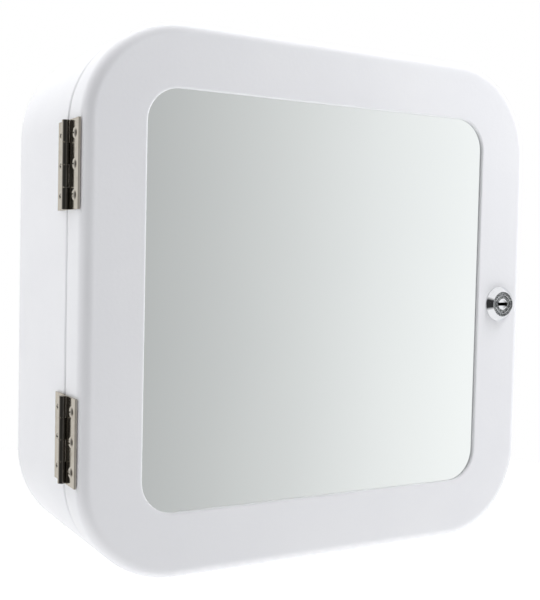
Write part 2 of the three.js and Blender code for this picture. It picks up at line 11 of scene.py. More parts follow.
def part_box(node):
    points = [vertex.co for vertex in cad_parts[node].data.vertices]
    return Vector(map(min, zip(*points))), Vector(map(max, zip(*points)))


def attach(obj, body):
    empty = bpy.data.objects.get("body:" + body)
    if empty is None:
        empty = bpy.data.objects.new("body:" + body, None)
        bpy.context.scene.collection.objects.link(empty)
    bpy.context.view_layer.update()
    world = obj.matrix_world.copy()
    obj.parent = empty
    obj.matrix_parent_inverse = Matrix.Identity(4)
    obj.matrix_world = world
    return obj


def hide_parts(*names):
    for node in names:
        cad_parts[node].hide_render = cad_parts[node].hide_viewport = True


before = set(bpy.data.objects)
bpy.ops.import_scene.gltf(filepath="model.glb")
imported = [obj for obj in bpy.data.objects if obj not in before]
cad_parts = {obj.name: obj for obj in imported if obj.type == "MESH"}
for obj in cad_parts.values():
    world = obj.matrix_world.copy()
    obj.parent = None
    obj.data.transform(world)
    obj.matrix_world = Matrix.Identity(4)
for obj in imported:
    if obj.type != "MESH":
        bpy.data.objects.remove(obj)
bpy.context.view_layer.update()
scene = bpy.context.scene

# ------------------------------------------------------------------ studio
# A pale floor well below the hanging cabinet, a bright room with one darker side towards the
# left front, and softboxes all round. The camera stands to the left of the door and a little above
# its middle.
CAMERA_PLACE = (-0.33719, -0.64177, 0.03003)
CAMERA_AZIMUTH = math.radians(-29.574)
CAMERA_ELEVATION = math.radians(2.653)
CAMERA_ROLL = math.radians(1.274)
CAMERA_LENS = 59.742
FLOOR_DROP = 0.9
FLOOR_WIDTH = 8.0
DARK_SIDE = math.radians(-50)  # where the darker side of the room is, from the front
ROOM_STRENGTH = 1.1
ROOM_ON_MATT = 0.3  # share of the room's light that matt surfaces get, beside the softboxes
ROOM_TINT = (0.985, 0.992)  # red and green against blue
# How bright the room is, by the cosine of the turn from its dark side
ROOM_TONES = (
    (-0.20, 1.06),
    (-0.017, 1.05),
    (0.078, 0.92),
    (0.156, 0.775),
    (0.233, 0.655),
    (0.309, 0.557),
    (0.42, 0.40),
    (0.66, 0.10),
    (1.0, 0.04),
)
# The tones fade between these heights, given as the sine of the angle above or below level
TONES_FADE = (0.35, 0.60)
ROOM_ABOVE = (0.92, 0.92, 0.92, 1)
WHITE = (1, 1, 1, 1)

camera_data = bpy.data.cameras.new("studio_camera")
camera_data.lens = CAMERA_LENS
camera_data.clip_start = 0.01
camera = bpy.data.objects.new("studio_camera", camera_data)
scene.collection.objects.link(camera)
camera_back = Vector(
    (
        math.sin(CAMERA_AZIMUTH) * math.cos(CAMERA_ELEVATION),
        -math.cos(CAMERA_AZIMUTH) * math.cos(CAMERA_ELEVATION),
        math.sin(CAMERA_ELEVATION),
    )
)
level = (-camera_back).cross(Vector((0, 0, 1))).normalized()
upright = level.cross(-camera_back)
camera_right = level * math.cos(CAMERA_ROLL) + upright * math.sin(CAMERA_ROLL)
camera_up = upright * math.cos(CAMERA_ROLL) - level * math.sin(CAMERA_ROLL)
camera.matrix_world = Matrix.Translation(CAMERA_PLACE) @ (
    Matrix((camera_right, camera_up, camera_back)).transposed().to_4x4()
)
scene.camera = camera
scene.view_settings.view_transform = "Standard"


def put(tree, kind, values=(), **settings):
    """A node with its settings. Each input is given as a value or as another node's output."""
    made = tree.nodes.new(kind)
    for key, value in settings.items():
        setattr(made, key, value)
    for key, value in dict(values).items():
        if isinstance(value, bpy.types.NodeSocket):
            tree.links.new(value, made.inputs[key])
        else:
            made.inputs[key].default_value = value
    return made


room = bpy.data.worlds.new("studio_room")
room.use_nodes = True
scene.world = room
sky = room.node_tree
sky.nodes.clear()
look = put(sky, "ShaderNodeTexCoord").outputs["Generated"]
flat = put(sky, "ShaderNodeVectorMath", {0: look, 1: (1, 1, 0)}, operation="MULTIPLY")
flat = put(sky, "ShaderNodeVectorMath", {0: flat.outputs[0]}, operation="NORMALIZE")
dark_way = (math.sin(DARK_SIDE), -math.cos(DARK_SIDE), 0)
facing = put(
    sky, "ShaderNodeVectorMath", {0: flat.outputs[0], 1: dark_way}, operation="DOT_PRODUCT"
)
widest_turn = ROOM_TONES[0][0]
turned_by = put(
    sky, "ShaderNodeMapRange", {"Value": facing.outputs["Value"], 1: widest_turn, 2: 1.0}
)
around = put(sky, "ShaderNodeValToRGB", {0: turned_by.outputs[0]})
ramp = around.color_ramp
for place, bright in ROOM_TONES[1:-1]:
    ramp.elements.new((place - widest_turn) / (1 - widest_turn))
for element, (place, bright) in zip(ramp.elements, ROOM_TONES):
    element.position = (place - widest_turn) / (1 - widest_turn)
    level_tone = bright / ROOM_STRENGTH
    element.color = (level_tone * ROOM_TINT[0], level_tone * ROOM_TINT[1], level_tone, 1)
height = put(sky, "ShaderNodeSeparateXYZ", {0: look})
steep = put(sky, "ShaderNodeMath", {0: height.outputs["Z"]}, operation="ABSOLUTE")
fade_start, fade_end = TONES_FADE
band = put(
    sky,
    "ShaderNodeMapRange",
    {"Value": steep.outputs[0], 1: fade_start, 2: fade_end, 3: 1.0, 4: 0.0},
)
tone = put(
    sky,
    "ShaderNodeMix",
    {0: band.outputs[0], 6: ROOM_ABOVE, 7: around.outputs[0]},
    data_type="RGBA",
)
ray = put(sky, "ShaderNodeLightPath").outputs
dimmed = put(
    sky,
    "ShaderNodeMapRange",
    {"Value": ray["Is Diffuse Ray"], 3: ROOM_STRENGTH, 4: ROOM_STRENGTH * ROOM_ON_MATT},
)
lit = put(sky, "ShaderNodeBackground", {0: tone.outputs[2], 1: dimmed.outputs[0]}).outputs[0]
seen = put(sky, "ShaderNodeBackground", {0: WHITE, 1: 1.0}).outputs[0]
mixed = put(sky, "ShaderNodeMixShader", {0: ray["Is Camera Ray"], 1: lit, 2: seen})
put(sky, "ShaderNodeOutputWorld", {0: mixed.outputs[0]})


def softbox(name, place, target, width, power, tint=(1, 1, 1)):
    """A square area light that only matt surfaces see."""
    data = bpy.data.lights.new(name, "AREA")
    data.shape = "SQUARE"
    data.size = width
    data.energy = power
    data.color = tint
    light = bpy.data.objects.new(name, data)
    light.location = place
    way = Vector(target) - Vector(place)
    light.rotation_euler = way.to_track_quat("-Z", "Y").to_euler()
    light.visible_glossy = False
    light.visible_camera = False
    scene.collection.objects.link(light)


softbox("key_softbox", (0.5, -0.5, 0.3), (0.14, -0.12, 0.05), 0.35, 1.0, (0.97, 0.98, 1.0))
softbox("top_softbox", (-0.25, 0.15, 0.9), (-0.05, -0.05, 0), 0.6, 7.2)
softbox("side_softbox", (-0.7, 0.1, 0.4), (-0.16, -0.05, 0.08), 0.4, 0.5)
softbox("left_softbox", (-3.0, -0.42, 0.3), (0.0, -0.12, 0.0), 1.0, 17.5)
softbox("right_softbox", (0.5, -0.35, 0.7), (0.1, -0.12, 0.1), 0.4, 4.6)
softbox("low_right_softbox", (0.5, -0.4, -0.6), (0.1, -0.12, -0.1), 0.4, 1.75)
softbox("rear_softbox", (0.35, 0.9, 0.3), (0.0, 0.0, 0.0), 0.6, 2.0)

floor_blank = bmesh.new()
bmesh.ops.create_circle(floor_blank, cap_ends=True, segments=64, radius=FLOOR_WIDTH / 2)
bmesh.ops.translate(floor_blank, vec=(0, 0, -FLOOR_DROP), verts=floor_blank.verts)
floor_mesh = bpy.data.meshes.new("studio_floor")
floor_blank.to_mesh(floor_mesh)
floor_blank.free()
floor = bpy.data.objects.new("studio_floor", floor_mesh)
scene.collection.objects.link(floor)
floor.visible_glossy = False
floor_paint = bpy.data.materials.new("studio_floor")
floor_paint.use_nodes = True
floor_shader = floor_paint.node_tree.nodes["Principled BSDF"]
for label, value in {
    "Base Color": (0.97, 0.97, 0.97, 1),
    "Roughness": 1.0,
    "Emission Color": WHITE,
    "Emission Strength": 0.68,
}.items():
    floor_shader.inputs[label].default_value = value
floor_mesh.materials.append(floor_paint)

# ------------------------------------------------------------------ cabinet body
# One strip of 1 mm steel folded round four wide corners, with a front lip bent in all round and a
# flange welded inside it near the wall to carry the back panel. Powder coated white.
SHEET = 1.0
CORNER_RADIUS = 60.0
BEND_RADIUS = 1.8
FRONT_LIP = 9.0
REAR_FLANGE = 12.0
SEAT_GAP = 0.1
CORNER_STEPS = 24
SUPPORT = 0.5  # narrow strip beside a bend that keeps the flat face flat
RAW_EDGE = 0.35  # rounding of a cut sheet edge under the paint
FLANGE_BEND = 0.6
WELD_EDGE = 0.05  # where the flange meets the wrapped sheet
COAT_WHITE = (0.80, 0.805, 0.83, 1)
COAT_SHADE = (0.775, 0.78, 0.81, 1)
DUST = (0.70, 0.68, 0.64, 1)


def group(name, inputs, outputs):
    """An empty shader group with number inputs and outputs, and its two end nodes."""
    tree = bpy.data.node_groups.new(name, "ShaderNodeTree")
    for label, value in inputs:
        socket = tree.interface.new_socket(label, in_out="INPUT", socket_type="NodeSocketFloat")
        socket.default_value = value
    for label in outputs:
        tree.interface.new_socket(label, in_out="OUTPUT", socket_type="NodeSocketFloat")
    return tree, tree.nodes.new("NodeGroupInput"), tree.nodes.new("NodeGroupOutput")


def noise(tree, scale, detail=3.0, stretch=(1, 1, 1), roughness=0.5):
    """Noise on the piece's own place, with its features stretched along an axis if asked."""
    place = put(tree, "ShaderNodeTexCoord").outputs["Object"]
    mapped = put(tree, "ShaderNodeMapping", {0: place, "Scale": stretch}).outputs[0]
    values = {0: mapped, "Scale": scale, "Detail": detail, "Roughness": roughness}
    return put(tree, "ShaderNodeTexNoise", values).outputs[0]


def ranged(tree, value, low, high, start=0.0, end=1.0):
    """A value's range from start to end, carried to low and high."""
    values = {"Value": value, 1: start, 2: end, 3: low, 4: high}
    return put(tree, "ShaderNodeMapRange", values).outputs[0]


def reckoned(tree, operation, *values, **settings):
    """The answer of a sum on two or three values."""
    return put(
        tree, "ShaderNodeMath", dict(enumerate(values)), operation=operation, **settings
    ).outputs[0]


# Sprayed finish: the rounded dimples of a cured coat, and cloudy changes in its thickness.
spray_texture, group_in, group_out = group(
    "spray_texture", [("Dimple Size", 420.0), ("Cloud Size", 14.0)], ["Height", "Cloud"]
)
dimples = noise(spray_texture, group_in.outputs[0], 2.0, roughness=0.45)
pinholes = noise(spray_texture, 2600.0, 1.0)
clouds = noise(spray_texture, group_in.outputs[1])
mottle = reckoned(spray_texture, "MULTIPLY_ADD", pinholes, 0.12, dimples)
spray_texture.links.new(mottle, group_out.inputs[0])
spray_texture.links.new(clouds, group_out.inputs[1])

# Dust on upward faces, thicker in patches, with a mask between nothing and the given amount.
settled_dust, group_in, group_out = group("settled_dust", [("Amount", 0.3)], ["Mask"])
facing_way = put(settled_dust, "ShaderNodeNewGeometry").outputs["Normal"]
upward = put(settled_dust, "ShaderNodeSeparateXYZ", {0: facing_way}).outputs["Z"]
ledge = ranged(settled_dust, upward, 0, 1, 0.55, 1.0)
patches = ranged(settled_dust, noise(settled_dust, 70.0, 6.0), 0, 1, 0.35, 0.75)
settled = reckoned(settled_dust, "MULTIPLY", ledge, patches)
settled = reckoned(settled_dust, "MULTIPLY", settled, group_in.outputs[0])
settled_dust.links.new(settled, group_out.inputs[0])

# Smears left by hands and cloths: broad soft marks crossed by finer wiping streaks.
hand_smears, group_in, group_out = group("hand_smears", [("Size", 28.0)], ["Mask"])
smears = noise(hand_smears, group_in.outputs[0], 5.0, roughness=0.62)
wipes = noise(hand_smears, 60.0, 4.0, stretch=(1.0, 1.0, 4.5))
smeared = reckoned(hand_smears, "MULTIPLY_ADD", wipes, 0.35, smears)
hand_smears.links.new(ranged(hand_smears, smeared, 0, 1, 0.55, 0.9), group_out.inputs[0])


def use(tree, shared, values=()):
    """The outputs of a shared group placed in a material with its own values."""
    return put(tree, "ShaderNodeGroup", values, node_tree=shared).outputs


def blended(tree, amount, first, second):
    """A colour between two others."""
    values = {0: amount, 6: first, 7: second}
    return put(tree, "ShaderNodeMix", values, data_type="RGBA").outputs[2]


def surface(name):
    """A new material with its tree and its principled shader."""
    made = bpy.data.materials.new(name)
    made.use_nodes = True
    return made, made.node_tree, made.node_tree.nodes["Principled BSDF"]


def coloured(tree, shader, colour, roughness, metal=0.0):
    """A shader's colour and roughness over the surface, and whether it is bare metal."""
    tree.links.new(colour, shader.inputs["Base Color"])
    tree.links.new(roughness, shader.inputs["Roughness"])
    shader.inputs["Metallic"].default_value = metal


def raised(tree, shader, heights, distance):
    """Bumps of that depth in metres on a shader's normal."""
    bump = put(tree, "ShaderNodeBump", {"Height": heights, "Distance": distance, "Strength": 1.0})
    tree.links.new(bump.outputs[0], shader.inputs["Normal"])


white_coat, tree, shader = surface("white_powder_coat")
texture = use(tree, spray_texture)
dusty = use(tree, settled_dust, {"Amount": 0.22})["Mask"]
smears = use(tree, hand_smears)["Mask"]
paint = blended(tree, ranged(tree, texture["Cloud"], 0.0, 1.0, 0.3, 0.7), COAT_WHITE, COAT_SHADE)
sheen = reckoned(tree, "ADD", ranged(tree, smears, 0.0, 0.08), ranged(tree, dusty, 0.30, 0.75))
coloured(tree, shader, blended(tree, dusty, paint, DUST), sheen)
shader.inputs["Specular IOR Level"].default_value = 0.45
raised(tree, shader, texture["Height"], 0.00005)


def arc(inset, y, radius, start, end, steps):
    """Places along a bend as (inset, depth). 0 degrees points inwards and 90 to the front."""
    angles = [math.radians(start + (end - start) * i / steps) for i in range(steps + 1)]
    return [(inset + radius * math.cos(a), y - radius * math.sin(a)) for a in angles]


def outline(bm, low, high, radius, inset, y, steps=CORNER_STEPS):
    """Wire of a rounded rectangle in the XZ plane between two corners, moved in by inset."""
    around = [
        bm.verts.new((x, y, z))
        for x, z in (
            (low[0] + inset, low[1] + inset),
            (high[0] - inset, low[1] + inset),
            (high[0] - inset, high[1] - inset),
            (low[0] + inset, high[1] - inset),
        )
    ]
    sides = [bm.edges.new((around[i], around[(i + 1) % 4])) for i in range(4)]
    rounded = bmesh.ops.bevel(
        bm,
        geom=around,
        offset=radius - inset,
        offset_type="OFFSET",
        affect="VERTICES",
        segments=steps,
        profile=0.5,
        material=-1,
    )
    curved = {e for v in rounded["verts"] for e in v.link_edges if e.is_wire}
    return list(curved | {e for e in sides if e.is_valid})


def drawn_out(bm, edges):
    """New vertices and edges on faces drawn out of edges, still in the same place."""
    made = bmesh.ops.extrude_edge_only(bm, edges=edges)["geom"]
    new = {v for v in made if isinstance(v, bmesh.types.BMVert)}
    return list(new), [
        e for e in made if isinstance(e, bmesh.types.BMEdge) and set(e.verts) <= new
    ]


def drawn_through(bm, ring, low, high, radius, places):
    """Faces from a wire ring through (inset, depth) places, and the last ring of edges."""
    near = Vector((low[0] + radius, 0, low[1] + radius))
    far = Vector((high[0] - radius, 0, high[1] - radius))
    for inset, y in places:
        new, ring = drawn_out(bm, ring)
        for v in new:
            centre = Vector(
                (min(max(v.co.x, near.x), far.x), v.co.y, min(max(v.co.z, near.z), far.z))
            )
            v.co = centre + (v.co - centre).normalized() * (radius - inset)
            v.co.y = y
    return ring


def folded_ring(bm, low, high, radius, places):
    """A strip folded round a rounded rectangle. Returns its first and last rings."""
    first = outline(bm, low, high, radius, *places[0])
    return first, drawn_through(bm, first, low, high, radius, places[1:])


def joined(bm, ring, other):
    """Faces between two rings."""
    bmesh.ops.bridge_loops(bm, edges=ring + other)


def tidied(bm):
    """Doubles merged and faces turned outwards."""
    bmesh.ops.remove_doubles(bm, verts=bm.verts, dist=0.0005)
    bmesh.ops.recalc_face_normals(bm, faces=bm.faces)


def boolean(bm, cutter, operation="DIFFERENCE"):
    """A mesh cut by, joined to or kept inside another. Both are used up."""
    blanks = []
    for used in (bm, cutter):
        mesh = bpy.data.meshes.new("blank")
        used.to_mesh(mesh)
        used.free()
        blanks.append(bpy.data.objects.new("blank", mesh))
        scene.collection.objects.link(blanks[-1])
    cut = blanks[0].modifiers.new("cut", "BOOLEAN")
    cut.operation = operation
    cut.object = blanks[1]
    cut.solver = "EXACT"
    bpy.context.view_layer.update()
    result = bmesh.new()
    result.from_object(blanks[0], bpy.context.evaluated_depsgraph_get())
    for blank in blanks:
        mesh = blank.data
        bpy.data.objects.remove(blank)
        bpy.data.meshes.remove(mesh)
    if not result.faces:
        raise ValueError("a cut left nothing of its mesh")
    return result


def finished(name, bm, materials, body, nodes, crease=35.0):
    """A piece in metres from a mesh in millimetres, on its body, in place of its CAD nodes."""
    bmesh.ops.scale(bm, vec=(0.001, 0.001, 0.001), verts=bm.verts)
    mesh = bpy.data.meshes.new(name)
    bm.to_mesh(mesh)
    bm.free()
    mesh.polygons.foreach_set("use_smooth", [True] * len(mesh.polygons))
    mesh.set_sharp_from_angle(angle=math.radians(crease))
    for material in materials:
        mesh.materials.append(material)
    made = bpy.data.objects.new(name, mesh)
    scene.collection.objects.link(made)
    flat_faces = made.modifiers.new("flat_faces", "WEIGHTED_NORMAL")
    flat_faces.mode = "FACE_AREA"
    flat_faces.weight = 100
    flat_faces.keep_sharp = True
    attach(made, body)
    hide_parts(*nodes)
    return made


def millimetres(node):
    """A CAD node's lowest and highest corners."""
    low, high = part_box(node)
    return low * 1000, high * 1000


def moved(bm, way):
    """A whole mesh moved."""
    bmesh.ops.translate(bm, vec=way, verts=bm.verts)


def swung(bm, angle, axis):
    """A whole mesh turned about one of the three axes."""
    turn = Matrix.Rotation(angle, 3, axis)
    bmesh.ops.rotate(bm, cent=(0, 0, 0), matrix=turn, verts=bm.verts)


def rod(axis_point, way, radius, length, steps=32):
    """A cutter: a round bar from a point along a direction."""
    bm = bmesh.new()
    bmesh.ops.create_cone(
        bm, cap_ends=True, segments=steps, radius1=radius, radius2=radius, depth=length
    )
    moved(bm, (0, 0, length / 2))
    turn = Vector(way).to_track_quat("Z", "Y").to_matrix()
    bmesh.ops.rotate(bm, cent=(0, 0, 0), matrix=turn, verts=bm.verts)
    moved(bm, axis_point)
    return bm


def merged(meshes):
    """Separate meshes as one."""
    whole = bmesh.new()
    for bm in meshes:
        mesh = bpy.data.meshes.new("blank")
        bm.to_mesh(mesh)
        bm.free()
        whole.from_mesh(mesh)
        bpy.data.meshes.remove(mesh)
    return whole


SCREW_RADIUS = 1.75
SCREW_CLEARANCE = 0.2
SCREW_HOLE_DEPTH = 12.0
HINGE_PLACES = ("upper", "lower")


def screw_holes(side):
    """Cutters for the hinge screws of the body or of the door."""
    cutters = []
    for place in HINGE_PLACES:
        for number in (1, 2, 3):
            low, high = millimetres(f"screw_{place}_{side}_{number}")
            start = (low.x, (low.y + high.y) / 2, (low.z + high.z) / 2)
            hole_radius = SCREW_RADIUS + SCREW_CLEARANCE
            cutters.append(rod(start, (1, 0, 0), hole_radius, SCREW_HOLE_DEPTH))
    return merged(cutters)


shell_low, shell_high = millimetres("body_shell")
body_corners = ((shell_low.x, shell_low.z), (shell_high.x, shell_high.z))
body_front = shell_low.y
back_panel_low, back_panel_high = millimetres("back_panel")
flange_front = back_panel_low.y - SEAT_GAP - SHEET
half_sheet = SHEET / 2

bm = bmesh.new()
first, last = folded_ring(
    bm,
    *body_corners,
    CORNER_RADIUS,
    [
        (RAW_EDGE, 0),
        *arc(RAW_EDGE, -RAW_EDGE, RAW_EDGE, 225, 180, 1),
        (0, -RAW_EDGE - SUPPORT),
        (0, body_front + BEND_RADIUS + SUPPORT),
        *arc(BEND_RADIUS, body_front + BEND_RADIUS, BEND_RADIUS, 180, 90, 6),
        (BEND_RADIUS + SUPPORT, body_front),
        (FRONT_LIP - half_sheet - SUPPORT, body_front),
        *arc(FRONT_LIP - half_sheet, body_front + half_sheet, half_sheet, 90, -90, 6),
        (FRONT_LIP - half_sheet - SUPPORT, body_front + SHEET),
        (BEND_RADIUS + SUPPORT, body_front + SHEET),
        *arc(BEND_RADIUS, body_front + BEND_RADIUS, BEND_RADIUS - SHEET, 90, 180, 4),
        (SHEET, body_front + BEND_RADIUS + SUPPORT),
        (SHEET, flange_front - FLANGE_BEND - SUPPORT),
        *arc(SHEET + FLANGE_BEND, flange_front - FLANGE_BEND, FLANGE_BEND, 180, 270, 4),
        (SHEET + FLANGE_BEND + SUPPORT, flange_front),
        (REAR_FLANGE - half_sheet - SUPPORT, flange_front),
        *arc(REAR_FLANGE - half_sheet, flange_front + half_sheet, half_sheet, 90, -90, 6),
        (REAR_FLANGE - half_sheet - SUPPORT, flange_front + SHEET),
        (SHEET + WELD_EDGE, flange_front + SHEET),
        (SHEET, flange_front + SHEET + WELD_EDGE),
        (SHEET, -RAW_EDGE),
        (SHEET - 0.1, -0.1),
        (SHEET - RAW_EDGE, 0),
    ],
)
joined(bm, first, last)
tidied(bm)
bm = boolean(bm, screw_holes("body"))
finished("cabinet_body_sheet", bm, [white_coat], "body", ["body_shell"])

# ------------------------------------------------------------------ back panel
# A flat steel sheet that closes the back, spot welded to the flange. It has two keyhole slots at
# the top to hang the cabinet on screws and two plain holes below to fix it for good.
PANEL_GAP = 0.3  # between the panel and the wrapped sheet
PANEL_RADIUS = CORNER_RADIUS - SHEET - PANEL_GAP
PANEL_EASE = 0.15
KEYHOLE_ENTRY_RADIUS = 4.5
KEYHOLE_SLOT_RADIUS = 2.5
KEYHOLE_RISE = 10.0
FIXING_ACROSS = 90.0
FIXING_HEIGHT = 95.0
CUT_PAST = 1.0  # how far a cutter passes through a sheet on each side
CUT_LENGTH = SHEET + 2 * CUT_PAST


def plate(low, high, radius, front, back, ease, steps=CORNER_STEPS):
    """A flat plate with rounded corners and eased edges, from front to back."""
    bm = bmesh.new()
    corners = ((low[0], low[1]), (high[0], high[1]))
    places = [
        (ease + SUPPORT, front),
        (ease, front),
        (ease * 0.3, front + ease * 0.3),
        (0, front + ease),
        (0, back - ease),
        (ease * 0.3, back - ease * 0.3),
        (ease, back),
        (ease + SUPPORT, back),
    ]
    first = outline(bm, *corners, radius, *places[0], steps)
    last = drawn_through(bm, first, *corners, radius, places[1:])
    for ring in (first, last):
        bmesh.ops.contextual_create(bm, geom=ring)
    tidied(bm)
    return bm


def plate_of(node, radius, ease):
    """A flat plate as large as a CAD node."""
    low, high = millimetres(node)
    return plate((low.x, low.z), (high.x, high.z), radius, low.y, high.y, ease)


bm = plate_of("back_panel", PANEL_RADIUS, PANEL_EASE)
through = (0, 1, 0)
start_y = back_panel_low.y - CUT_PAST
for x in (-FIXING_ACROSS, FIXING_ACROSS):
    slot_blank = bmesh.new()
    slot_ring = outline(
        slot_blank,
        (x - KEYHOLE_SLOT_RADIUS, FIXING_HEIGHT),
        (x + KEYHOLE_SLOT_RADIUS, FIXING_HEIGHT + KEYHOLE_RISE + KEYHOLE_SLOT_RADIUS),
        KEYHOLE_SLOT_RADIUS - 0.01,
        0,
        start_y,
        12,
    )
    bmesh.ops.contextual_create(slot_blank, geom=slot_ring)
    pushed = bmesh.ops.extrude_face_region(slot_blank, geom=slot_blank.faces[:])["geom"]
    far_end = [v for v in pushed if isinstance(v, bmesh.types.BMVert)]
    bmesh.ops.translate(slot_blank, vec=(0, CUT_LENGTH, 0), verts=far_end)
    tidied(slot_blank)
    entry = rod((x, start_y, FIXING_HEIGHT), through, KEYHOLE_ENTRY_RADIUS, CUT_LENGTH, 48)
    bm = boolean(bm, boolean(slot_blank, entry, "UNION"))
    plain = rod((x, start_y, -FIXING_HEIGHT), through, KEYHOLE_SLOT_RADIUS, CUT_LENGTH, 48)
    bm = boolean(bm, plain)
finished("back_panel_sheet", bm, [white_coat], "body", ["back_panel"])

# ------------------------------------------------------------------ shelves
# Two fixed shelves of the same sheet. Each is folded down along its front edge and at both ends,
# where it is welded to the sides, and is coated with the body.
SHELF_END_SETBACK = 10.0
SHELF_BEND = 1.6
SHELF_EASE = 0.25


def bent(bm, edges, radius, segments, clamp=False):
    """Edges rounded to a radius."""
    bmesh.ops.bevel(
        bm,
        geom=edges,
        offset=radius,
        offset_type="OFFSET",
        affect="EDGES",
        segments=segments,
        profile=0.5,
        material=-1,
        clamp_overlap=clamp,
    )


def corner_edges(bm, angle):
    """Edges where two faces meet at more than an angle in degrees."""
    return [
        e
        for e in bm.edges
        if len(e.link_faces) == 2 and e.calc_face_angle() > math.radians(angle)
    ]


def softened(bm, width, angle=50.0, segments=2):
    """Sharp edges rounded by a small bevel."""
    bm.normal_update()
    bent(bm, corner_edges(bm, angle), width, segments, clamp=True)


def thickened(bm, way, chosen, thickness):
    """Sheet drawn as one face deep, turned so that its chosen face looks that way, made solid."""
    bmesh.ops.recalc_face_normals(bm, faces=bm.faces)
    if max(bm.faces, key=chosen).normal.dot(Vector(way)) < 0:
        bmesh.ops.reverse_faces(bm, faces=bm.faces)
    bmesh.ops.solidify(bm, geom=bm.faces[:], thickness=thickness)


for place in ("upper", "lower"):
    low, high = millimetres(f"shelf_{place}")
    bm = bmesh.new()
    fold_front = low.y + SHELF_END_SETBACK
    around = [
        bm.verts.new((x, y, high.z))
        for x, y in (
            (low.x, low.y),
            (high.x, low.y),
            (high.x, fold_front),
            (high.x, high.y),
            (low.x, high.y),
            (low.x, fold_front),
        )
    ]
    bm.faces.new(around)
    bm.edges.ensure_lookup_table()
    folds = [bm.edges.get((around[i], around[j])) for i, j in ((0, 1), (2, 3), (4, 5))]
    for fold in folds:
        dropped, _ = drawn_out(bm, [fold])
        bmesh.ops.translate(bm, vec=(0, 0, low.z - high.z), verts=dropped)
    bent(bm, folds, SHELF_BEND, 6)
    thickened(bm, (0, 0, 1), lambda f: f.calc_area(), SHEET)
    softened(bm, SHELF_EASE)
    finished(
        f"{place}_shelf_sheet", bm, [white_coat], "body", [f"shelf_{place}"]
    )

# ------------------------------------------------------------------ door
# A shallow pan of the same sheet: its front edge is rounded all round, its rear edge is bent in
# as a lip, and the window's edge is folded back to seat the mirror. A hole takes the lock.
FRONT_EDGE_RADIUS = 7.0
WINDOW_RADIUS = 20.0
WINDOW_FOLD = 1.6
WINDOW_BEND = 1.3
CUT_EASE = 0.1  # of the window's folded edge, where the glass sits
MIRROR_OVERLAP = 3.5
BARREL_RADIUS = 9.3
BARREL_FLATS = 16.4
FIT_GAP = 0.3

door_low, door_high = millimetres("door_shell")
door_corners = ((door_low.x, door_low.z), (door_high.x, door_high.z))
door_front, door_back = door_low.y, door_high.y
mirror_low, mirror_high = millimetres("mirror")
glass_growth = SHEET + MIRROR_OVERLAP
window_low = (mirror_low.x + glass_growth, mirror_low.z + glass_growth)
window_high = (mirror_high.x - glass_growth, mirror_high.z - glass_growth)
lock_low, lock_high = millimetres("lock_body")
lock_x, lock_z = (lock_low.x + lock_high.x) / 2, (lock_low.z + lock_high.z) / 2
lock_place = (lock_x, 0, lock_z)


bm = bmesh.new()
lip_start, front_outer = folded_ring(
    bm,
    *door_corners,
    CORNER_RADIUS,
    [
        (FRONT_LIP - half_sheet, door_back),
        (FRONT_LIP - half_sheet - SUPPORT, door_back),
        (BEND_RADIUS + SUPPORT, door_back),
        *arc(BEND_RADIUS, door_back - BEND_RADIUS, BEND_RADIUS, 270, 180, 6),
        (0, door_back - BEND_RADIUS - SUPPORT),
        (0, door_front + FRONT_EDGE_RADIUS + SUPPORT),
        *arc(FRONT_EDGE_RADIUS, door_front + FRONT_EDGE_RADIUS, FRONT_EDGE_RADIUS, 180, 90, 14),
        (FRONT_EDGE_RADIUS + SUPPORT, door_front),
    ],
)
window_y = door_front + WINDOW_BEND
fold_back = door_front + WINDOW_FOLD
window_outer, window_inner = folded_ring(
    bm,
    window_low,
    window_high,
    WINDOW_RADIUS,
    [
        (-growth, y)  # the window's places run outwards from its edge
        for growth, y in (
            (WINDOW_BEND + SUPPORT, door_front),
            *arc(WINDOW_BEND, window_y, WINDOW_BEND, 90, 180, 6),
            (0, fold_back - CUT_EASE),
            (CUT_EASE, fold_back),
            (SHEET - CUT_EASE, fold_back),
            (SHEET, fold_back - CUT_EASE),
            *arc(WINDOW_BEND, window_y, WINDOW_BEND - SHEET, 180, 90, 4),
            (WINDOW_BEND + SUPPORT, door_front + SHEET),
        )
    ],
)
inner_edge_radius = FRONT_EDGE_RADIUS - SHEET
back_outer, lip_end = folded_ring(
    bm,
    *door_corners,
    CORNER_RADIUS,
    [
        (FRONT_EDGE_RADIUS + SUPPORT, door_front + SHEET),
        *arc(FRONT_EDGE_RADIUS, door_front + FRONT_EDGE_RADIUS, inner_edge_radius, 90, 180, 12),
        (SHEET, door_front + FRONT_EDGE_RADIUS + SUPPORT),
        (SHEET, door_back - BEND_RADIUS - SUPPORT),
        *arc(BEND_RADIUS, door_back - BEND_RADIUS, BEND_RADIUS - SHEET, 180, 270, 4),
        (BEND_RADIUS + SUPPORT, door_back - SHEET),
        (FRONT_LIP - half_sheet - SUPPORT, door_back - SHEET),
        *arc(FRONT_LIP - half_sheet, door_back - half_sheet, half_sheet, 90, -60, 5),
    ],
)
joined(bm, front_outer, window_outer)
joined(bm, window_inner, back_outer)
joined(bm, lip_end, lip_start)
tidied(bm)


# The lock's hole is round with a flat above and below.
lock_hole = rod(
    (lock_x, door_front - CUT_PAST, lock_z), through, BARREL_RADIUS + FIT_GAP, CUT_LENGTH, 48
)
for side in (-1, 1):
    cut = bmesh.ops.bisect_plane(
        lock_hole,
        geom=lock_hole.verts[:] + lock_hole.edges[:] + lock_hole.faces[:],
        plane_co=(0, 0, lock_z + side * (BARREL_FLATS / 2 + FIT_GAP)),
        plane_no=(0, 0, side),
        clear_outer=True,
    )["geom_cut"]
    rim = [e for e in cut if isinstance(e, bmesh.types.BMEdge)]
    bmesh.ops.contextual_create(lock_hole, geom=rim)
tidied(lock_hole)
bm = boolean(bm, lock_hole)
bm = boolean(bm, screw_holes("door"))
finished("door_pan_sheet", bm, [white_coat], "door", ["door_shell"])

